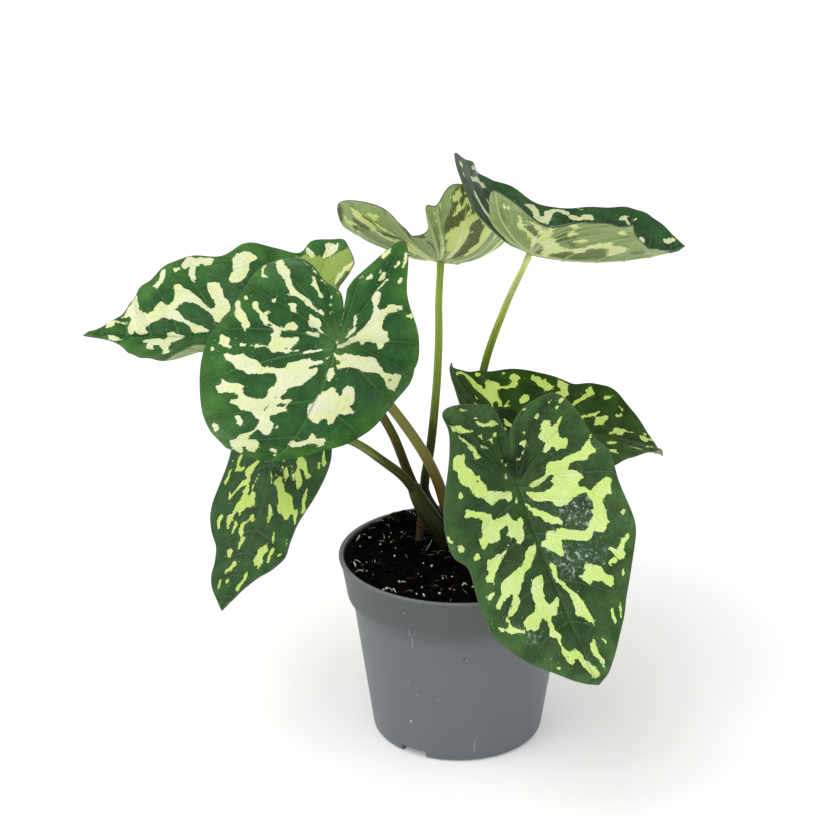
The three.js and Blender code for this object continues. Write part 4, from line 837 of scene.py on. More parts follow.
def bend_leaf(leaf, s, t, relief):
    along, left, up = leaf_directions(leaf)
    on_left, in_lobe = t >= 0, s < 0
    length, reach, out = leaf["length"], leaf["length"] / 2, np.abs(t)
    of_side = {key: np.where(on_left, *leaf[key]) for key in
               ("fold", "fold_lobe", "curl", "wave", "wave_phase")}
    rate = np.radians(np.where(in_lobe, leaf["lobe_lift"] / reach, -leaf["droop"] / length))
    run, rise = on_arc(0.0, rate, np.abs(s))
    lean = rate * np.abs(s)
    in_blade = np.clip(s / length, 0, 1) ** 1.5
    share = np.where(in_lobe, np.minimum(-s / reach, 1.5), in_blade)
    target = np.where(in_lobe, of_side["fold_lobe"], leaf["fold_tip"])
    fold = np.radians(of_side["fold"] + (target - of_side["fold"]) * share)
    side, lift = on_arc(fold, np.radians(of_side["curl"]) / reach, out)
    turns = 2 * np.pi * leaf["waves"] * s / length + np.radians(of_side["wave_phase"])
    height = lift + relief + of_side["wave"] * (out / (0.45 * length)) ** 2 * np.sin(turns)
    forward = np.where(in_lobe, -1, 1) * (run - np.sin(lean) * height)
    sideways = np.where(on_left, side, -side)
    upward = rise + np.cos(lean) * height
    place = (np.array(leaf["attach"]) + forward[:, None] * along + sideways[:, None] * left
             + upward[:, None] * up)
    return place * mm


for name, leaf in leaves.items():
    print(name, "points along", leaf_directions(leaf)[0].round(2))

# %% [markdown]
# ## A blade
# The veins are sunk a little into the upper face and the skin between them swells, as a quilt
# does between its seams; the margin ruffles in step with it. Solidify gives the sheet its
# thickness, with one material above, one below and one on the thin rim. Below, the veins stand
# out as round cords, so the points of the lower face near a vein are pushed outwards.

# %% Leaf measures
blade_thickness = 0.55
vein_sink = 0.28
groove_width = 0.9
midrib_ridge = 0.9
side_ridge = 0.18


def near(distance, width):
    return np.exp(-((distance / width) ** 2))


def vein_distances(leaf, s, t, columns):
    """Distance to the midrib and to the nearest side vein, and the side veins' half width."""
    across = np.linspace(0, 1, half_steps + 1)
    nearest, half_width = np.full(len(s), 99.0), np.full(len(s), 0.3)
    for column in columns:
        u = np.full(len(across), column / margin_steps)
        for side in (1, -1):
            vein_s, vein_t, _ = flat_place(leaf, u, side * np.maximum(across, 1e-9))
            for k in range(0, half_steps, 3):
                distance = from_line(s, t, vein_s[k], vein_t[k], vein_s[k + 3], vein_t[k + 3])
                closer = distance < nearest
                nearest = np.where(closer, distance, nearest)
                half_width = np.where(closer, 0.55 * (1 - across[k]) + 0.12, half_width)
    midrib = np.hypot(np.clip(-s, 0, None), t)
    return midrib, nearest, half_width


def keep_drawing(piece, s, t):
    """Keeps the flat drawing as the UV map, in units of 100 mm."""
    flat = piece.data.uv_layers.active or piece.data.uv_layers.new(name="flat")
    corners = np.empty(len(piece.data.loops), int)
    piece.data.loops.foreach_get("vertex_index", corners)
    flat.data.foreach_set("uv", np.column_stack([s, t])[corners].ravel() / 100)


def flat_blade(name):
    """The blade as a flat grid in its relief, with all that its materials read from it."""
    leaf = leaves[name]
    piece, u, across = grid_piece("leaf_" + name, margin_steps, 2 * half_steps)
    w = 2 * across - 1
    w = np.where(np.abs(w) < 1e-6, 0.0, w)
    s, t, rib_length = flat_place(leaf, u, w)
    out = np.abs(w)
    midrib, side_vein, side_width = vein_distances(leaf, s, t, vein_columns)
    midrib_width = 0.25 + 1.05 * np.clip(1 - s / leaf["length"], 0, 1)
    seam = np.interp(u * margin_steps, (0, *vein_columns, margin_steps),
                     range(len(vein_columns) + 2))
    from_stalk = np.hypot(s, t)
    store(piece, "blotch", np.clip(depth_in_blotches(name, s, t), -6, 6))
    # The second tone: turned-up skin on the pale leaves, painted shade under upper leaves and in notches.
    store(piece, "tone", np.clip(depth_in(turned_skin_and_shade, name, s, t), -6, 6))
    # shine marks where painted glints lie and the skin is smoother.
    store(piece, "shine", np.clip(depth_in(glint_patches, name, s, t), -6, 6))
    store(piece, "midrib", midrib - midrib_width)
    store(piece, "side_vein", side_vein - side_width)
    store(piece, "margin", (1 - out) * rib_length)
    store(piece, "from_stalk", from_stalk)
    store(piece, "rib", np.column_stack([seam * 8, out * rib_length, np.sign(w) * 40]))
    keep_drawing(piece, s, t)
    swell = np.sin(np.pi * seam) ** 2 * np.clip(from_stalk / 25, 0, 1) * np.sin(np.pi * out) ** 0.7
    inside = np.clip((1 - out) * rib_length / 4, 0, 1)
    grooves = near(side_vein, groove_width) + 1.4 * near(midrib, 1.6)
    scallop = np.sin(np.pi * seam) ** 2 * out ** 4 * np.clip(rib_length / 30, 0, 1)
    relief = (leaf["quilt"] * swell - vein_sink * grooves * inside
              + leaf["ruffle"] * (scallop - 0.5 * out ** 4))
    write_points(piece, np.column_stack([s, t, relief]) * mm)
    return piece


def thickened(piece):
    """Turns the sheet into a solid, with the second finish below and the third on the rim."""
    sheet_points = len(piece.data.vertices)
    thicken = piece.modifiers.new("thickness", "SOLIDIFY")
    thicken.thickness = blade_thickness * mm
    thicken.offset = 0
    thicken.material_offset = 1
    thicken.material_offset_rim = 2
    bpy.ops.object.modifier_apply(modifier="thickness")
    push_out_veins(piece, sheet_points)


def make_blade(name, finishes):
    piece = flat_blade(name)
    in_edit_mode(piece, merge_doubles)
    s, t, relief = (read_points(piece) / mm).T
    write_points(piece, bend_leaf(leaves[name], s, np.where(np.abs(t) < 1e-7, 0.0, t), relief))
    for finish in finishes:
        piece.data.materials.append(finish)
    thickened(piece)
    finish_piece(piece, finishes, ["blade_" + name])


def push_out_veins(piece, sheet_points):
    """Raises the veins on the lower face, whose points follow those of the upper face."""
    table = read_points(piece)
    lower = np.arange(sheet_points, 2 * sheet_points)
    out_of_face = table[lower] - table[lower - sheet_points]
    out_of_face /= np.linalg.norm(out_of_face, axis=1)[:, None]
    midrib, side = recall(piece, "midrib")[lower], recall(piece, "side_vein")[lower]
    ridge = (midrib_ridge * near(np.clip(midrib + 0.3, 0, None), 0.9)
             + side_ridge * near(np.clip(side, 0, None), 0.7))
    fading = np.clip(recall(piece, "margin")[lower] / 8, 0, 1)
    table[lower] += out_of_face * (ridge * fading * mm)[:, None]
    write_points(piece, table)


print("a blade is", blade_thickness, "mm thick, with", len(vein_columns), "side veins in each half")

# %% [markdown]
# ## The look of a blade
# Above, the skin is a satin dark green that turns yellower towards the margin and bluer round
# the stalk, with paler veins. The blotches have hard, stepped edges, because each tiny patch
# of skin between the finest veins is either green or pale. So the depth inside a blotch is
# shaken by soft noise, by cells that are long in the direction of the side veins and, on the
# undersides, by fine streaks, and is cut at zero. One group does this for every leaf, and each
# material gives it its own colours.


# %% Blotch edge group
edge_strengths = {"Shake": ("Float", 1.0), "Flecks": ("Float", 0.5), "Streaks": ("Float", 0.0)}


def make_blotch_group():
    group, given, result = new_group("ragged blotch", edge_strengths, {"Mask": ("Float", None)})
    ask = given.outputs
    millimetres = flat_millimetres(group)
    depth = attribute(group, "blotch")
    rib = attribute(group, "rib", out=1)
    soft = minus(group, noise_at(group, millimetres, 0.36, 1.0, 0.5), 0.5)
    cells = add(group, "ShaderNodeTexVoronoi", {"Vector": stretched(group, rib, (1.3, 0.42, 1)),
                                                "Scale": 1.0, "Randomness": 1.0}, out=1)
    step = minus(group, add(group, "ShaderNodeSeparateColor", {0: cells}), 0.5)
    shake = plus(group, times(group, soft, 0.9), times(group, step, 0.75))
    lines = noise_at(group, stretched(group, rib, (1.7, 0.07, 1)), 1.0, 2.0, 0.6)
    lines = times(group, minus(group, lines, 0.5), 7.0)
    shake = compute(group, "MULTIPLY_ADD", lines, ask["Streaks"], shake)
    shaken = compute(group, "MULTIPLY_ADD", shake, ask["Shake"], depth)
    spots = noise_at(group, millimetres, 1.05, 1.0, 0.4)
    close = ranged(group, depth, -5.0, -0.8)
    fleck = times(group, minus(group, spots, 0.74), 12.0)
    fleck = plus(group, fleck, minus(group, close, 1.0))
    deepest = larger(group, shaken, times(group, fleck, ask["Flecks"]))
    hole = larger(group, times(group, minus(group, 0.23, spots), 30.0), 0.0)
    deepest = minus(group, deepest, hole)
    put(group, result.inputs["Mask"], ranged(group, deepest, -0.07, 0.07))
    return group


blotch_group = make_blotch_group()
print("made the group", blotch_group.name)

# %% [markdown]
# The second group lays the colours: green by place on the leaf, painted shade where the quilted
# skin dips along the side veins and in soft mottles, veins, blotch and the thin grey-violet line on
# the very margin. It also puts out a height for the fine relief.


# %% Blade colour group
palette = ("Deep", "Outer", "Centre", "Vein", "Blotch", "Blotch pale", "Rim", "Turned skin and painted shade")
turn_and_shade_share = 0.9


def make_blade_group():
    inputs = {name: ("Color", (0.1, 0.2, 0.1, 1)) for name in palette}
    inputs.update({**edge_strengths, "Vein strength": ("Float", 0.5)})
    group, given, result = new_group(
        "blade colours", inputs, {"Color": ("Color", None), "Height": ("Float", None)})
    ask = given.outputs
    millimetres = flat_millimetres(group)
    rib = attribute(group, "rib", out=1)
    margin, from_stalk = attribute(group, "margin"), attribute(group, "from_stalk")
    midrib, side = attribute(group, "midrib"), attribute(group, "side_vein")
    cloud = noise_at(group, millimetres, 0.055, 3.0, 0.55)
    outer = plus(group, ranged(group, margin, 22, 0, -0.25, 0.75),
                 ranged(group, cloud, 0.35, 0.65, -0.35, 0.35))
    green = mixed(group, from_0_to_1(group, outer), ask["Deep"], ask["Outer"])
    green = mixed(group, ranged(group, from_stalk, 13, 1, 0, 0.85), green, ask["Centre"])
    seam = add(group, "ShaderNodeSeparateXYZ", {0: rib})
    # Painted shade: the green is darkened along the side veins, where the quilted skin dips, and in soft
    # mottles.
    puff = compute(group, "ABSOLUTE", compute(group, "SINE", times(group, seam, math.pi / 8)))
    mottle = noise_at(group, millimetres, 0.13, 4.0, 0.6)
    shade = plus(group, ranged(group, puff, 0.1, 0.95, 0.26, 0.0),
                 ranged(group, mottle, 0.62, 0.4, 0.0, 0.36))
    green = mixed(group, shade, green, ink("6f7b74"), "MULTIPLY")
    lines = noise_at(group, stretched(group, rib, (2.2, 0.05, 1)), 1.0, 2.0, 0.6)
    streak = times(group, ranged(group, lines, 0.35, 0.65), ask["Streaks"])
    green = mixed(group, streak, green, ask["Outer"])
    # Painted shade: the second tone darkens the skin under the upper leaves and in the notches; on the
    # cream leaves it gives the turned-up skin its colour.
    turn_and_shade_mask = compute(group, "MULTIPLY_ADD", minus(group, lines, 0.5), 4.0, attribute(group, "tone"))
    turn_and_shade_mask = times(group, ranged(group, turn_and_shade_mask, -0.5, 0.5), turn_and_shade_share)
    green = mixed(group, turn_and_shade_mask, green, ask["Turned skin and painted shade"])
    fine = add(group, "ShaderNodeTexVoronoi", {"Vector": stretched(group, rib, (0.9, 0.45, 1)),
                                                "Scale": 1.0}, feature="DISTANCE_TO_EDGE")
    net = ranged(group, fine, 0.0, 0.09, 1.0, 0.0)
    vein = larger(group, ranged(group, midrib, 0.35, -0.25),
                  times(group, ranged(group, side, 0.3, -0.15), 0.7))
    vein_share = times(group, vein, ask["Vein strength"])
    net_share = times(group, net, times(group, ask["Vein strength"], 0.16))
    green = mixed(group, larger(group, vein_share, net_share), green, ask["Vein"])
    blotch = placed(group, blotch_group, {name: ask[name] for name in edge_strengths})["Mask"]
    pale = plus(group, ranged(group, cloud, 0.4, 0.62, -0.1, 0.7), times(group, vein, 0.6))
    spot = mixed(group, from_0_to_1(group, pale), ask["Blotch"], ask["Blotch pale"])
    spot = mixed(group, vein_share, spot, ink("f4f7e0"))
    colour = mixed(group, blotch, green, spot)
    colour = mixed(group, ranged(group, margin, 0.55, 0.15, 0, 0.8), colour, ask["Rim"])
    put(group, result.inputs["Color"], colour)
    wrinkle = noise_at(group, stretched(group, rib, (0.55, 0.3, 1)), 1.0, 2.0, 0.5)
    height = minus(group, wrinkle, times(group, net, 0.18))
    height = minus(group, height, times(group, vein, 0.5))
    put(group, result.inputs["Height"], plus(group, height, times(group, blotch, 0.06)))
    return group


blade_group = make_blade_group()
print("made the group", blade_group.name)


# %% Leaf materials
def blade_colours(tree, colours, strengths):
    """Places the blade group with its colours, given in the order of the palette."""
    inks = {name: ink(digits) for name, digits in zip(palette, colours.split())}
    return placed(tree, blade_group, {**inks, **strengths})


def upper_material(name, colours, roughness=0.42, spread=0.1, veins=0.5, gloss=0.22):
    material, tree, shader = new_material(name, Specular_IOR_Level=gloss)
    made = blade_colours(tree, colours, {"Vein strength": veins})
    # Painted highlight: in the glint patches, light grey-green glints are mixed into the colour, and the
    # skin is made smoother.
    glint_area = ranged(tree, attribute(tree, "shine"), -3.0, 4.0)
    millimetres = flat_millimetres(tree)
    painted_glints = noise_at(tree, millimetres, 0.42, 4.0, 0.72)
    painted_glints = times(tree, ranged(tree, painted_glints, 0.52, 0.65, 0.0, 0.75), glint_area)
    put(tree, shader.inputs["Base Color"], mixed(tree, painted_glints, made["Color"], ink("c9d8d2")))
    cloud = noise_at(tree, millimetres, 0.12, 3.0, 0.6)
    rough = ranged(tree, cloud, 0.3, 0.7, roughness - spread, roughness + spread)
    put(tree, shader.inputs["Roughness"], compute(tree, "MULTIPLY_ADD", glint_area, -0.12, rough))
    bumped(tree, shader, made["Height"], 0.7 * mm)
    return material


def lower_material(name, colours):
    material, tree, shader = new_material(name, Specular_IOR_Level=0.3)
    made = blade_colours(tree, colours, {"Flecks": 0.3, "Streaks": 0.7, "Vein strength": 0.9,
                                         "Shake": 1.3})
    put(tree, shader.inputs["Base Color"], made["Color"])
    lines = noise_at(tree, stretched(tree, attribute(tree, "rib", out=1), (1.4, 0.1, 1)), 1.0)
    put(tree, shader.inputs["Roughness"], ranged(tree, lines, 0.3, 0.7, 0.5, 0.68))
    bumped(tree, shader, made["Height"], 0.3 * mm)
    return material


def rim_material():
    material, tree, shader = new_material("leaf rim", Specular_IOR_Level=0.3, Roughness=0.5)
    cloud = noise_at(tree, object_place(tree), 160, 2.0)
    put(tree, shader.inputs["Base Color"], mixed(tree, cloud, ink("454f3a"), ink("5f6456")))
    return material


# The last colour of each is the second tone: the turned-up skin's colour on the cream leaves, a painted
# shade colour on all the others.
cream_above = upper_material(
    "leaf above, cream blotches", "31662f 508c34 66964f 65a052 f2fab8 fafde0 5a6352 a9c261")
lime_above = upper_material(
    "leaf above, lime blotches", "34562a 4c753a 4e733a 6a9055 d2ee84 e0f6a8 566248 182b10",
    roughness=0.34, spread=0.12, veins=0.3)
low_above = upper_material(
    "leaf above, low leaf", "3a5e34 3d6632 446a36 6d9160 c4e06c d6ea8c 566248 182b10",
    veins=0.34, gloss=0.18)
back_above = upper_material(
    "leaf above, behind", "305314 375e12 3f6424 446a26 d2ee72 e0f494 4c5a38 182b10",
    roughness=0.5, veins=0.3, gloss=0.08)
dark_above = upper_material(
    "leaf above, dark", "2c5430 3b6a30 6ea05c 5f8a52 dde8a8 eef1cc 566248 1d3a22", gloss=0.12)
pale_below = lower_material(
    "leaf below", "849a58 a6bd78 c6d898 d2dfa4 dbe88e e8f0b4 59644a 5e7136")
streaked_below = lower_material(
    "leaf below, streaked", "90a76a b2c984 bed294 d0dd9a e4f08c f0f6b0 59644a 4b5a20")
leaf_rim = rim_material()
print(len(palette), "colours for each leaf material")

# %% The seven blades
above = {"front_left": cream_above, "far_left": cream_above, "low_left": low_above,
         "top_middle": dark_above, "top_right": dark_above, "front_right": lime_above,
         "back_right": back_above}
below = {name: pale_below for name in leaves}
below["top_middle"] = streaked_below
for name in leaves:
    make_blade(name, (above[name], below[name], leaf_rim))

# %% [markdown]
# ## The stalks
# Each leaf has one long, smooth stalk. It rises from the soil with its neighbours, arches
# outwards and meets the underside of its blade. It is a grid rolled up round the stalk's line,
# thick at the foot, thin above, and rounded shut where it enters the blade.

# %% Stalk builder
stalk_columns = 72
stalk_around = 20
soil_level = 91
stalk_start = 64.35
half_solid_blade = 0.35
clearance = 0.35
neck = 7
sunk_end = 0.2


def stalk_route(leaf):
    """From the buried foot to just under the blade; neck is the straight stretch at the top."""
    up = leaf_directions(leaf)[2]
    attach = np.array(leaf["attach"], float)
    arch = math.radians(max(0, -min(leaf["fold"])))
    seat = half_solid_blade + clearance + leaf["stalk"][1] * math.sin(arch)
    x, y = leaf["foot"]
    return [(x, y, stalk_start), (x, y, soil_level - 1), *leaf["via"],
            attach - up * (seat + leaf.get("neck", neck)), attach - up * sunk_end]


def even_line(points, count):
    """Evenly spaced points on the curve through the given ones, with a frame at each."""
    fine = along_curve(points, np.linspace(0, 1, 600), extended=True)
    travelled = np.concatenate([[0], np.cumsum(np.linalg.norm(np.diff(fine, axis=0), axis=1))])
    wanted = np.linspace(0, travelled[-1], count)
    line = np.column_stack([np.interp(wanted, travelled, fine[:, k]) for k in range(3)])
    ahead = np.gradient(line, axis=0)
    ahead /= np.linalg.norm(ahead, axis=1)[:, None]
    sideways = np.cross(ahead[0], (0, 1, 0.01))
    frames = []
    for direction in ahead:
        sideways = sideways - direction * (sideways @ direction)
        sideways /= np.linalg.norm(sideways)
        frames.append((sideways, np.cross(direction, sideways)))
    return line, np.array([f[0] for f in frames]), np.array([f[1] for f in frames]), travelled[-1]


def rolled_tube(name, points, radius_at, columns=stalk_columns, around=stalk_around):
    """A closed tube round a curve. radius_at takes the share of the way and the length in mm."""
    piece, share, turn = grid_piece(name, columns, around)
    line, first, second, length = even_line(points, columns + 1)
    column = np.rint(share * columns).astype(int)
    angle = 2 * np.pi * turn
    radius = radius_at(share, length)
    table = (line[column] + first[column] * (radius * np.cos(angle))[:, None]
             + second[column] * (radius * np.sin(angle))[:, None])
    store(piece, "height", table[:, 2])
    store(piece, "tube", np.column_stack([share * length, np.cos(angle) * 3, np.sin(angle) * 3]))
    write_points(piece, table * mm)
    in_edit_mode(piece, merge_doubles, turn_outwards)
    return piece


def stalk_radius(leaf):
    foot, top = leaf["stalk"]

    def radius_at(share, length):
        plain = foot + (top - foot) * share ** 0.8
        from_top = (1 - share) * length
        flare = 1 + 0.2 * np.exp(-((from_top - 1.5) / 3.5) ** 2)
        dome = np.sqrt(np.clip(from_top / 1.6, 0, 1))
        base = np.sqrt(np.clip(share * length / 0.6, 0, 1))
        return plain * flare * dome * base
    return radius_at


print("a stalk has", stalk_columns, "by", stalk_around, "steps")

# %% [markdown]
# A stalk is yellow-green under its blade and darkens to olive and brown-black at the soil, and
# not all stalks do so at the same height. The skin is smooth, with faint lines along it and a
# few darker flecks. The colour follows the height of each point, which `rolled_tube` stored,
# through a ramp. Five stalks have a ramp of their own and the other two share one.


# %% Stalk materials
def stalk_material(name, stops):
    material, tree, shader = new_material(name, Specular_IOR_Level=0.16)
    height = attribute(tree, "height")
    tube = attribute(tree, "tube", out=1)
    cloud = noise_at(tree, stretched(tree, tube, (0.09, 0.5, 0.5)), 1.0, 3.0)
    shifted = compute(tree, "MULTIPLY_ADD", minus(tree, cloud, 0.5), 26.0, height)
    ramp = tree.nodes.new("ShaderNodeValToRGB")
    low, high = stops[0][0], stops[-1][0]
    put(tree, ramp.inputs[0], ranged(tree, shifted, low, high))
    marks = ramp.color_ramp.elements
    while len(marks) < len(stops):
        marks.new(0.5)
    for mark, (at, digits) in zip(marks, stops):
        mark.position = (at - low) / (high - low)
        mark.color = ink(digits)
    lines = noise_at(tree, stretched(tree, tube, (0.03, 1.6, 1.6)), 1.0, 2.0)
    darker = mixed(tree, ranged(tree, lines, 0.45, 0.7, 0, 0.35), ramp.outputs[0], ink("3a3a18"))
    flecks = noise_at(tree, stretched(tree, tube, (0.5, 1.4, 1.4)), 1.0, 1.0)
    darker = mixed(tree, ranged(tree, flecks, 0.66, 0.74, 0, 0.5), darker, ink("33301a"))
    put(tree, shader.inputs["Base Color"], darker)
    put(tree, shader.inputs["Roughness"], ranged(tree, lines, 0.3, 0.7, 0.34, 0.5))
    bumped(tree, shader, lines, 0.25 * mm)
    return material


green_stalk = stalk_material("green stalk", [
    (92, "231d10"), (112, "3a3216"), (140, "5a6422"), (185, "7d9034"), (228, "a3b94e")])
olive_stalk = stalk_material("olive stalk", [
    (92, "2b2012"), (108, "4e3a1a"), (128, "6a5a26"), (150, "8a8240"), (185, "93924e"),
    (215, "9cab58")])
dark_stalk = stalk_material("dark stalk", [
    (92, "1d180e"), (118, "382d12"), (140, "4c4018"), (160, "70692c"), (200, "8f9a4a")])
low_stalk = stalk_material("low stalk", [
    (92, "17140a"), (112, "1f220b"), (127, "2e350f"), (139, "55602a"), (150, "8c9a56"),
    (160, "9aa862")])
middle_stalk = stalk_material("middle stalk", [
    (92, "1d180c"), (124, "37330f"), (148, "3f4a0c"), (166, "8c9c48"), (190, "93aa42"),
    (215, "a9c858")])
bright_stalk = stalk_material("bright stalk", [
    (92, "1d180c"), (150, "35481a"), (172, "4f7024"), (189, "8a9c38"), (210, "c2d46c"),
    (240, "dcec98")])
sheath_green = stalk_material("sheath green", [
    (90, "15120a"), (104, "20230a"), (118, "2f360d"), (130, "434c14")])
print(len(bpy.data.materials), "materials so far")

# %% The seven stalks
stalk_finish = {"front_left": olive_stalk, "far_left": dark_stalk, "low_left": low_stalk,
                "top_middle": middle_stalk, "top_right": bright_stalk}
for name, leaf in leaves.items():
    stalk = rolled_tube("petiole_" + name, stalk_route(leaf), stalk_radius(leaf))
    finish_piece(stalk, [stalk_finish.get(name, green_stalk)], ["stalk_" + name])

# %% [markdown]
# The lowest stalk stands in the broad sheath of its leaf, which swells above the soil and ends
# in a small lip where the stalk comes free. The sheath is one more rolled tube, and its width is
# typed at a few distances from its foot.

# %% The sheath
sheath_line = [(-5.5, 12, 88), (-8, 11.2, 97), (-11.8, 11, 105), (-16.6, 11.8, 112.6),
               (-20.8, 13.2, 120.4), (-23, 14.4, 126.5)]


def sheath_radius(share, length):
    plain = np.interp(share * length, (0, 9, 18, 27, 36, 44), (3.6, 4.0, 4.6, 4.6, 3.9, 2.8))
    ends = np.minimum(share * length / 0.8, (1 - share) * length / 1.8)
    return plain * np.sqrt(np.clip(ends, 0, 1))


sheath = rolled_tube("leaf_sheath", sheath_line, sheath_radius, around=28)
finish_piece(sheath, [sheath_green])

# %% [markdown]
# ## The pot
# The real pot is one thin shell of grey plastic from an injection mould: a cone with a step and
# a wider collar above, and a rounded lip. Its outline is drawn once, point by point,
# and spun round the axis. Each drain channel gets a roof inside, as in the frame, and is then cut
# through the foot with a box, and a round hole goes up through the roof.

# %% Pot outline
pot_outside = [(0, 0), (40.8, 0), (42, 0.4), (42.8, 1.4), (43.2, 3), (53, 71.3), (53.5, 72),
               (54.2, 72.4), (54.9, 73), (55.6, 74), (55.9, 75), (56, 75.8), (58.8, 91.8),
               (59.4, 92.4), (59.8, 93.2), (60, 94.2), (59.8, 94.8), (59.4, 95)]
pot_inside = [(58.1, 95), (57.7, 94.7), (57.4, 94), (54.7, 75.8), (53.9, 73.3), (51.55, 70.3),
              (42.03, 4), (40.7, 2), (0, 2)]
spin_steps = 144
channel_turns = (-122, -2, 118)
roof_size, roof_place = (27.95, 17, 4.5), (27.675, 0, 3.75)
channel_size, channel_place = (45, 14, 8), (37.5, 0, 0)
hole_radius, hole_from_axis = 3.5, 30


def spun(name, outline):
    """Draws an outline of (radius, height) by extruding a point, and spins it round the axis."""
    bpy.ops.mesh.primitive_plane_add(size=mm)
    piece = bpy.context.object
    piece.name = piece.data.name = name

    def start_and_extrude():
        bpy.ops.mesh.merge(type="CENTER")
        bpy.ops.transform.translate(value=(outline[0][0] * mm, 0, outline[0][1] * mm))
        for (r0, z0), (r1, z1) in zip(outline, outline[1:]):
            step = ((r1 - r0) * mm, 0, (z1 - z0) * mm)
            bpy.ops.mesh.extrude_region_move(TRANSFORM_OT_translate={"value": step})
        bpy.ops.mesh.select_all(action="SELECT")
        bpy.ops.mesh.spin(steps=spin_steps, angle=2 * math.pi, center=(0, 0, 0), axis=(0, 0, 1))
        bpy.ops.mesh.select_all(action="SELECT")
        merge_doubles(0.01 * mm)
        turn_outwards()

    in_edit_mode(piece, start_and_extrude)
    return piece


def box_piece(name, size, place, turn):
    """A box of a size in mm round a place, turned round the pot's axis."""
    bpy.ops.mesh.primitive_cube_add(size=1, location=[v * mm for v in place])
    piece = bpy.context.object
    piece.name = name
    piece.scale = [v * mm for v in size]
    bpy.ops.object.transform_apply(location=True, rotation=True, scale=True)
    piece.rotation_euler.z = math.radians(turn)
    bpy.ops.object.transform_apply(location=False, rotation=True, scale=False)
    return piece


def combine(piece, tool, operation):
    change = piece.modifiers.new("change", "BOOLEAN")
    change.object = tool
    change.operation = operation
    change.solver = "EXACT"
    bpy.context.view_layer.objects.active = piece
    bpy.ops.object.modifier_apply(modifier="change")
    bpy.data.objects.remove(tool)


print("the pot's outline has", len(pot_outside + pot_inside), "points")

# %% [markdown]
# The grey is a satin polypropylene with a faint mottle from the mould, dust that clings to it,
# and scratches from the nursery bench. Dust and scratches are one group. A second group draws a
# single mark at a given place, and the pot has a few such marks where the real one has them.


# %% Pot material
def make_wear_group():
    group, given, result = new_group(
        "dust and scratches",
        {"Place": ("Vector", None), "Amount": ("Float", 0.5)},
        {"Mottle": ("Float", None), "Scratch": ("Float", None), "Speck": ("Float", None)})
    place = given.outputs["Place"]
    put(group, result.inputs["Mottle"], noise_at(group, place, 34.0, 4.0, 0.6))
    lines = noise_at(group, stretched(group, place, (520, 520, 45)), 1.0, 1.0, 0.3)
    where = noise_at(group, place, 60.0, 1.0)
    scratch = times(group, ranged(group, lines, 0.74, 0.79), ranged(group, where, 0.55, 0.66))
    put(group, result.inputs["Scratch"], times(group, scratch, given.outputs["Amount"]))
    specks = ranged(group, noise_at(group, place, 700.0, 0.0), 0.86, 0.9)
    put(group, result.inputs["Speck"], times(group, specks, given.outputs["Amount"]))
    return group


wear_group = make_wear_group()
# Each row: the turn round the axis from the front in degrees, the heights between which the
# mark runs, its half width in mm, its strength and its colour.
pot_marks = [(-26, 64, 77, 0.13, 0.55, "c9cccd"), (2.4, 61.6, 62.2, 0.55, 0.8, "2c2e30"),
             (3.3, 61.2, 61.3, 0.3, 0.7, "b8bbbc"), (-31.3, 20.7, 21.1, 0.4, 0.9, "e4e6e6"),
             (-12.6, 37, 37.2, 0.33, 0.6, "bfc2c3"), (-29.6, 38.9, 39.3, 0.33, 0.7, "33363a"),
             (55, 22, 31, 0.13, 0.5, "b4b8ba"), (-27.8, 86, 86.4, 0.25, 0.5, "b4b8ba")]


def make_mark_group():
    group, given, result = new_group(
        "placed mark",
        {"Place": ("Vector", None), "Turn": ("Float", 0.0), "Low": ("Float", 0.0),
         "High": ("Float", 0.01), "Half": ("Float", 0.0003)},
        {"Mark": ("Float", None)})
    ask = given.outputs
    parts = group.nodes.new("ShaderNodeSeparateXYZ")
    put(group, parts.inputs[0], ask["Place"])
    x, y, z = parts.outputs
    turn = compute(group, "ARCTAN2", x, times(group, y, -1.0))
    aside = times(group, minus(group, turn, ask["Turn"]), hypotenuse(group, x, y))
    above = larger(group, minus(group, z, ask["High"]), minus(group, ask["Low"], z))
    away = hypotenuse(group, aside, larger(group, above, 0.0))
    rough = ranged(group, noise_at(group, ask["Place"], 900.0, 1.0), 0.35, 0.65, 0.5, 1.3)
    share = compute(group, "DIVIDE", away, times(group, ask["Half"], rough))
    put(group, result.inputs["Mark"], ranged(group, share, 1.2, 0.8))
    return group


mark_group = make_mark_group()


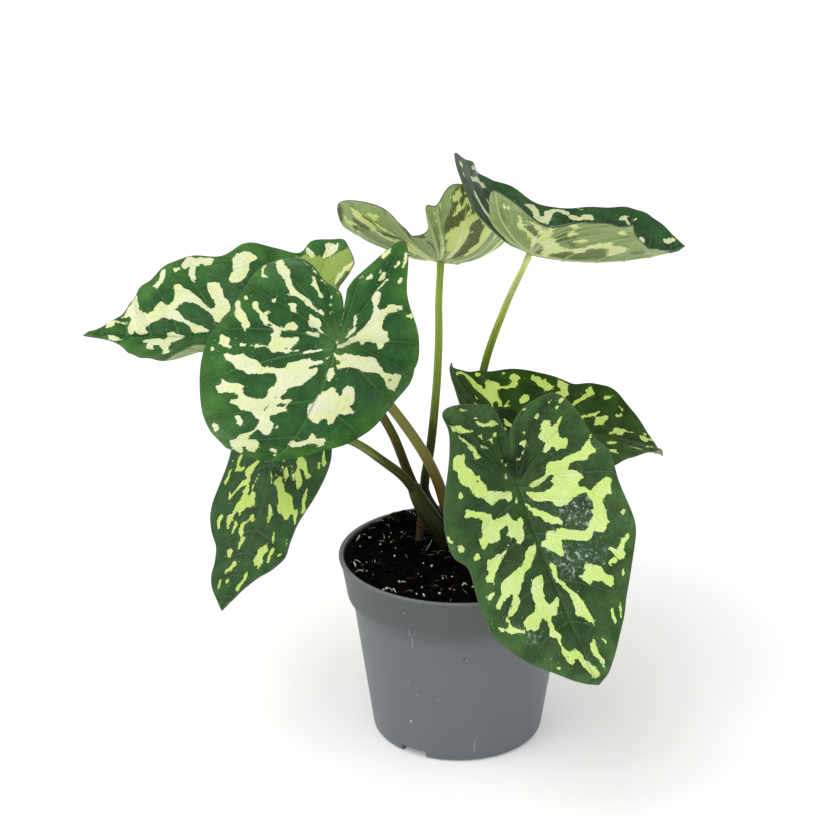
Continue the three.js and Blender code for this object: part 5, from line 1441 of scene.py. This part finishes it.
def pot_material():
    material, tree, shader = new_material("pot plastic", Specular_IOR_Level=0.45)
    place = object_place(tree)
    wear = placed(tree, wear_group, {"Place": place, "Amount": 0.45})
    height = add(tree, "ShaderNodeSeparateXYZ", {0: place}, out=2)
    grey = mixed(tree, wear["Mottle"], ink("5d6063"), ink("6c7074"))
    cool = ranged(tree, height, 0.03, 0.075, 0.45, 0.0)
    grey = mixed(tree, cool, grey, ink("646b75"))
    # Painted shade: the step and the collar above it are darker grey, as under the overhanging leaves.
    grey = mixed(tree, ranged(tree, height, 0.066, 0.078, 0, 0.75), grey, ink("484b4d"))
    # Painted highlight: a thin light grey line runs along the top of the lip.
    grey = mixed(tree, ranged(tree, height, 0.0942, 0.0949, 0, 0.6), grey, ink("8c9093"))
    grey = mixed(tree, times(tree, wear["Scratch"], 0.5), grey, ink("b9bcbe"))
    grey = mixed(tree, wear["Speck"], grey, ink("c9cbcc"))
    for turn, low, high, half, strength, digits in pot_marks:
        mark = placed(tree, mark_group, {"Place": place, "Turn": math.radians(turn),
                                         "Low": low * mm, "High": high * mm, "Half": half * mm})
        grey = mixed(tree, times(tree, mark["Mark"], strength), grey, ink(digits))
    put(tree, shader.inputs["Base Color"], grey)
    rough = ranged(tree, wear["Mottle"], 0.3, 0.7, 0.42, 0.54)
    put(tree, shader.inputs["Roughness"], compute(tree, "MULTIPLY_ADD", wear["Scratch"], 0.2, rough))
    grain = noise_at(tree, place, 900.0, 2.0)
    bumped(tree, shader, minus(tree, grain, times(tree, wear["Scratch"], 2.0)), 0.05 * mm)
    return material


print(len(pot_marks), "marks lie on the pot")

# %% Build the pot
pot = spun("nursery_pot", pot_outside + pot_inside)
for turn in channel_turns:
    combine(pot, box_piece("roof", roof_size, roof_place, turn), "UNION")
for turn in channel_turns:
    combine(pot, box_piece("channel", channel_size, channel_place, turn), "DIFFERENCE")
    angle, out = math.radians(turn), hole_from_axis * mm
    bpy.ops.mesh.primitive_cylinder_add(
        vertices=40, radius=hole_radius * mm, depth=6 * mm,
        location=(out * math.cos(angle), out * math.sin(angle), 6 * mm))
    combine(pot, bpy.context.object, "DIFFERENCE")
finish_piece(pot, [pot_material()], ["pot"], sharp=32)

# %% [markdown]
# ## The soil
# Moist black peat with fine bark, tan fibres and white grains of perlite. The body is a grid
# rolled into a closed drum whose top is roughened by noise at three scales. Loose crumbs are
# modelled once as a knobbly ball of twenty faces, then copied, turned and sized by chance, and
# joined into one piece.

# %% Soil body
soil_around = 150
crown = np.array((0.0, 18.0))
soil_side = [(56.9, 92.6), (54.2, 77.3), (52.0, 72.8), (51.0, 69.3), (41.9, 6.5), (0.0, 6.5)]


def soil_height(x, y):
    """The height of the soil's top in mm: a mound at the crown, clods, and a raised edge."""
    mound = 1.5 * np.exp(-((x - crown[0]) ** 2 + (y - crown[1]) ** 2) / 22 ** 2)
    clods = (0.7 * np.sin(0.23 * x + 1.3) * np.sin(0.19 * y + 0.4)
             + 0.5 * np.sin(0.41 * x - 0.33 * y + 2))
    edge = np.clip((np.hypot(x, y) - 34) / 18, 0, 1) ** 1.5
    back = 1.2 + 1.2 * np.clip(y / 45, 0, 1)
    heap = 2.2 * np.exp(-((x + 30) ** 2 + (y - 46) ** 2) / 9 ** 2)
    return soil_level + 0.9 + mound + clods * (1 - 0.6 * edge) + edge * back + heap


def lumps(x, y, size):
    return np.array([noise.noise(Vector((a / size, b / size, 3.1))) for a, b in zip(x, y)])


def straight_between(corners, share):
    corners = np.array(corners)
    travelled = np.append(0, np.cumsum(np.linalg.norm(np.diff(corners, axis=0), axis=1)))
    return [np.interp(share * travelled[-1], travelled, corners[:, k]) for k in range(2)]


top_rows = 76
side_rows = 12
top_radius = 57.0
drum, across, round_share = grid_piece("potting_soil", top_rows + side_rows, soil_around)
row = np.rint(across * (top_rows + side_rows)).astype(int)
radius = np.clip(row / top_rows, 0, 1) * top_radius
angle = 2 * np.pi * round_share
x, y = radius * np.cos(angle), radius * np.sin(angle)
rough = 1.1 * lumps(x, y, 5.0) + 0.7 * lumps(x, y, 2.4) + 0.45 * lumps(x, y, 1.2)
# The lumps fade towards the pot's wall.
z = soil_height(x, y) + rough * np.clip((57.1 - radius) / 4, 0.2, 1)
for step in range(1, side_rows + 1):
    side_radius, side_height = straight_between(soil_side, step / side_rows)
    here = row == top_rows + step
    radius = np.where(here, side_radius, radius)
    z = np.where(here, side_height, z)
drum_points = np.column_stack([radius * np.cos(angle), radius * np.sin(angle), z])
write_points(drum, drum_points * mm)
in_edit_mode(drum, merge_doubles, turn_outwards)
print("the soil reaches a height of", round(float(z.max()), 1), "mm")


# %% Soil materials
def soil_material():
    material, tree, shader = new_material("moist peat", Specular_IOR_Level=0.03)
    place = object_place(tree)
    coarse = noise_at(tree, place, 420, 4.0, 0.6)
    fine = noise_at(tree, place, 1700, 2.0, 0.6)
    brown = mixed(tree, ranged(tree, coarse, 0.35, 0.68), ink("020202"), ink("0d0706"))
    brown = mixed(tree, ranged(tree, fine, 0.7, 0.76, 0, 0.4), brown, ink("2c1a12"))
    put(tree, shader.inputs["Base Color"], brown)
    put(tree, shader.inputs["Roughness"], ranged(tree, fine, 0.3, 0.7, 0.55, 0.95))
    bumped(tree, shader, plus(tree, coarse, times(tree, fine, 0.4)), 1.0 * mm)
    return material


def bits_material(name, dark, light, roughness):
    material, tree, shader = new_material(name, Specular_IOR_Level=0.03)
    place = object_place(tree)
    cloud = noise_at(tree, place, 600, 3.0)
    colour = mixed(tree, ranged(tree, cloud, 0.35, 0.65), ink(dark), ink(light))
    put(tree, shader.inputs["Base Color"], colour)
    rough = ranged(tree, cloud, 0.3, 0.7, roughness - 0.1, roughness + 0.1)
    put(tree, shader.inputs["Roughness"], rough)
    bumped(tree, shader, noise_at(tree, place, 1500, 2.0), 0.3 * mm)
    return material


peat = soil_material()
crumb_finish = bits_material("peat crumbs", "020101", "0c0604", 0.85)
bark_finish = bits_material("bark bits", "120806", "2b1610", 0.7)
perlite_finish = bits_material("perlite", "e6e4de", "fbfaf6", 0.8)
fibre_finish = bits_material("coir fibres", "7d6a52", "d8ccb4", 0.7)
finish_piece(drum, [peat], ["soil"])


# %% Crumbs, bark and perlite
def scattered(name, model, count, sizes, spread, sink, finish, squash=0.7):
    """Copies of one small model, strewn over the soil and joined into one piece."""
    copies = []
    for k in range(count):
        far = spread[0] + (spread[1] - spread[0]) * math.sqrt(dice.random())
        turn = dice.uniform(0, 2 * math.pi)
        x, y = far * math.cos(turn), far * math.sin(turn)
        size = sizes[0] + (sizes[1] - sizes[0]) * dice.random() ** 2.2
        place = Vector((x, y, float(soil_height(x, y)) + sink * size)) * mm
        scale = Matrix.Diagonal((size * mm, size * mm * dice.uniform(0.6, 1.0),
                                 size * mm * squash, 1))
        spin = Matrix.Rotation(turn * 7, 4, "Z") @ Matrix.Rotation(dice.uniform(-0.7, 0.7), 4, "X")
        copy = model.copy()
        copy.data = model.data.copy()
        copy.data.transform(Matrix.Translation(place) @ spin @ scale)
        bpy.context.collection.objects.link(copy)
        copies.append(copy)
    finish_piece(joined(copies, name), [finish], sharp=50)


bpy.ops.mesh.primitive_ico_sphere_add(subdivisions=1, radius=1)
crumb = bpy.context.object
knobbly = read_points(crumb)
write_points(crumb, knobbly * (1 + 0.35 * lumps(knobbly[:, 0] * 9, knobbly[:, 2] * 7, 4.0))[:, None])
scattered("peat_crumbs", crumb, 1500, (0.5, 2.4), (0, 55), 0.15, crumb_finish)
scattered("bark_bits", crumb, 80, (0.8, 2.4), (0, 54), 0.2, bark_finish, squash=0.35)
scattered("perlite_grains", crumb, 150, (0.22, 0.85), (6, 56), 0.5, perlite_finish, squash=0.8)


# %% Fibres
def fibre(name, start, turn, length, thickness, bow):
    heading = np.array([math.cos(turn), math.sin(turn)])
    side = np.array([-heading[1], heading[0]])
    points = []
    for k in range(5):
        share = k / 4
        flat = start + heading * length * (share - 0.5) + side * bow * math.sin(math.pi * share)
        lift = 0.5 + 0.9 * math.sin(math.pi * share) * (0.4 + 0.6 * dice.random())
        points.append((*flat, float(soil_height(*flat)) + lift))

    def taper(share, _):
        return thickness * np.sqrt(np.clip(4 * share * (1 - share), 0, 1))

    return rolled_tube(name, points, taper, columns=10, around=5)


fibres = []
for k in range(80):
    far, turn = 54 * math.sqrt(dice.random()), dice.uniform(0, 2 * math.pi)
    start = np.array((far * math.cos(turn), far * math.sin(turn)))
    length = min(dice.uniform(2, 6.5), 2 * (56 - far))
    fibres.append(fibre("fibre", start, dice.uniform(0, math.pi), max(length, 1.5),
                        dice.uniform(0.06, 0.12), dice.uniform(-1.5, 1.5)))
finish_piece(joined(fibres, "coir_fibres"), [fibre_finish])
bpy.data.objects.remove(crumb)

# %% White slivers
# Each row: middle x and y, the way it points in degrees, length, half width and bow, in mm.
sliver_rows = [(-51, 19, -101, 8, 0.42, 0.6), (-52.5, -11.5, -63, 6, 0.36, 0.8),
               (-50.5, -9, -30, 5, 0.2, 1.0), (-49, -22, -7, 5, 0.16, 1.5),
               (-38, 21.5, -84, 6, 0.14, 0.5), (-37.3, 17.1, -11, 6.5, 0.14, -1.2),
               (-35, 24.5, -99, 7, 0.2, 0.8), (-42.4, -7, -79, 7, 0.13, 0.6),
               (-33, 44, 21, 7, 0.25, 0.6), (-40, 38, 15, 5, 0.15, 0.5),
               (-31.8, -42, -62, 4.2, 0.24, 0.2), (-34, -41.5, -46, 4.5, 0.12, 0.5),
               (-17.7, -47.3, -74, 4.5, 0.36, 0.3), (2.3, -34.6, 25, 3, 0.3, 0.6),
               (-27.3, -32.4, 0, 2.2, 0.2, 0.2), (-14.5, 14.8, -106, 22, 0.14, 0.8)]
slivers = [fibre("sliver", np.array((x, y)), math.radians(turn), length, half, bow)
           for x, y, turn, length, half, bow in sliver_rows]
finish_piece(joined(slivers, "white_slivers"), [perlite_finish])
print(len(fibres), "fibres and", len(slivers), "slivers lie on the soil")

# %% [markdown]
# ## The tuber and the dry sheath
# The tuber is buried and keeps its solid from the frame. The dry strip of an old sheath also
# stays as it is. Both still need a finish of their own.


# %% Finishes for the solids that stay
def husk_material(name, dark, light):
    material, tree, shader = new_material(name, Specular_IOR_Level=0.3)
    place = object_place(tree)
    fibres = noise_at(tree, stretched(tree, place, (900, 900, 90)), 1.0, 3.0)
    colour = mixed(tree, ranged(tree, fibres, 0.35, 0.65), ink(dark), ink(light))
    put(tree, shader.inputs["Base Color"], colour)
    put(tree, shader.inputs["Roughness"], ranged(tree, fibres, 0.3, 0.7, 0.6, 0.85))
    bumped(tree, shader, fibres, 0.3 * mm)
    return material


for node, finish in (("tuber", husk_material("tuber skin", "3a2618", "6a4a30")),
                     ("dry_sheath", husk_material("dry sheath", "241a12", "5e4a36"))):
    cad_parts[node].data.materials.clear()
    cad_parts[node].data.materials.append(finish)
    print(node, "is finished")

# %% [markdown]
# ## Stage, light and camera
# A plain pale floor under soft light, as in a product picture. A weak, broad sun stands high at
# the left, in front of the plant, so its soft shadow falls to the right, and an even white sky
# does the rest. The floor glows faintly, which keeps the shadows as pale as in a picture with a
# lit backdrop. The camera looks down by 21 degrees from a metre away.


# %% Floor
bpy.ops.mesh.primitive_circle_add(vertices=96, radius=7, fill_type="NGON", location=(0, 0, -0.0002))
floor = bpy.context.object
floor.name = "floor"
material, tree, shader = new_material("pale floor", Roughness=0.9, Specular_IOR_Level=0.1,
                                      Emission_Strength=0.2)
shader.inputs["Emission Color"].default_value = (1, 1, 1, 1)
cloud = noise_at(tree, object_place(tree), 3.0, 2.0)
put(tree, shader.inputs["Base Color"], mixed(tree, cloud, (0.93, 0.93, 0.93, 1), (0.96, 0.96, 0.96, 1)))
floor.data.materials.append(material)
print("the floor is", floor.dimensions.x, "m across")

# %% Light
sky = bpy.data.worlds.new("soft sky")
bpy.context.scene.world = sky
sky.use_nodes = True
sky.node_tree.nodes["Background"].inputs["Color"].default_value = (1, 1, 1, 1)
sky.node_tree.nodes["Background"].inputs["Strength"].default_value = 0.7


def soft_sun(name, place, strength, softness):
    """A broad, even light from far away, shining from place towards the middle of the plant."""
    bpy.ops.object.light_add(type="SUN", location=place)
    lamp = bpy.context.object
    lamp.name = name
    lamp.data.energy = strength
    lamp.data.angle = math.radians(softness)
    lamp.rotation_euler = (-Vector(place)).to_track_quat("-Z", "Y").to_euler()


soft_sun("window", (-0.75, -0.7, 1.5), 1.15, 45)
print("one broad sun and a white sky")

# %% Camera
elevation = math.radians(21)
distance = 1.0
focal_length = 87.857
film_width = 36
aim = Vector((-0.0193, 0, 0.1656))
bpy.ops.object.camera_add()
camera = bpy.context.object
camera.location = aim + distance * Vector((0, -math.cos(elevation), math.sin(elevation)))
camera.rotation_euler = (aim - camera.location).to_track_quat("-Z", "Y").to_euler()
camera.data.lens = focal_length
camera.data.sensor_width = film_width
bpy.context.scene.camera = camera
bpy.context.scene.view_settings.view_transform = "Standard"
print("the camera stands at", [round(v, 3) for v in camera.location])
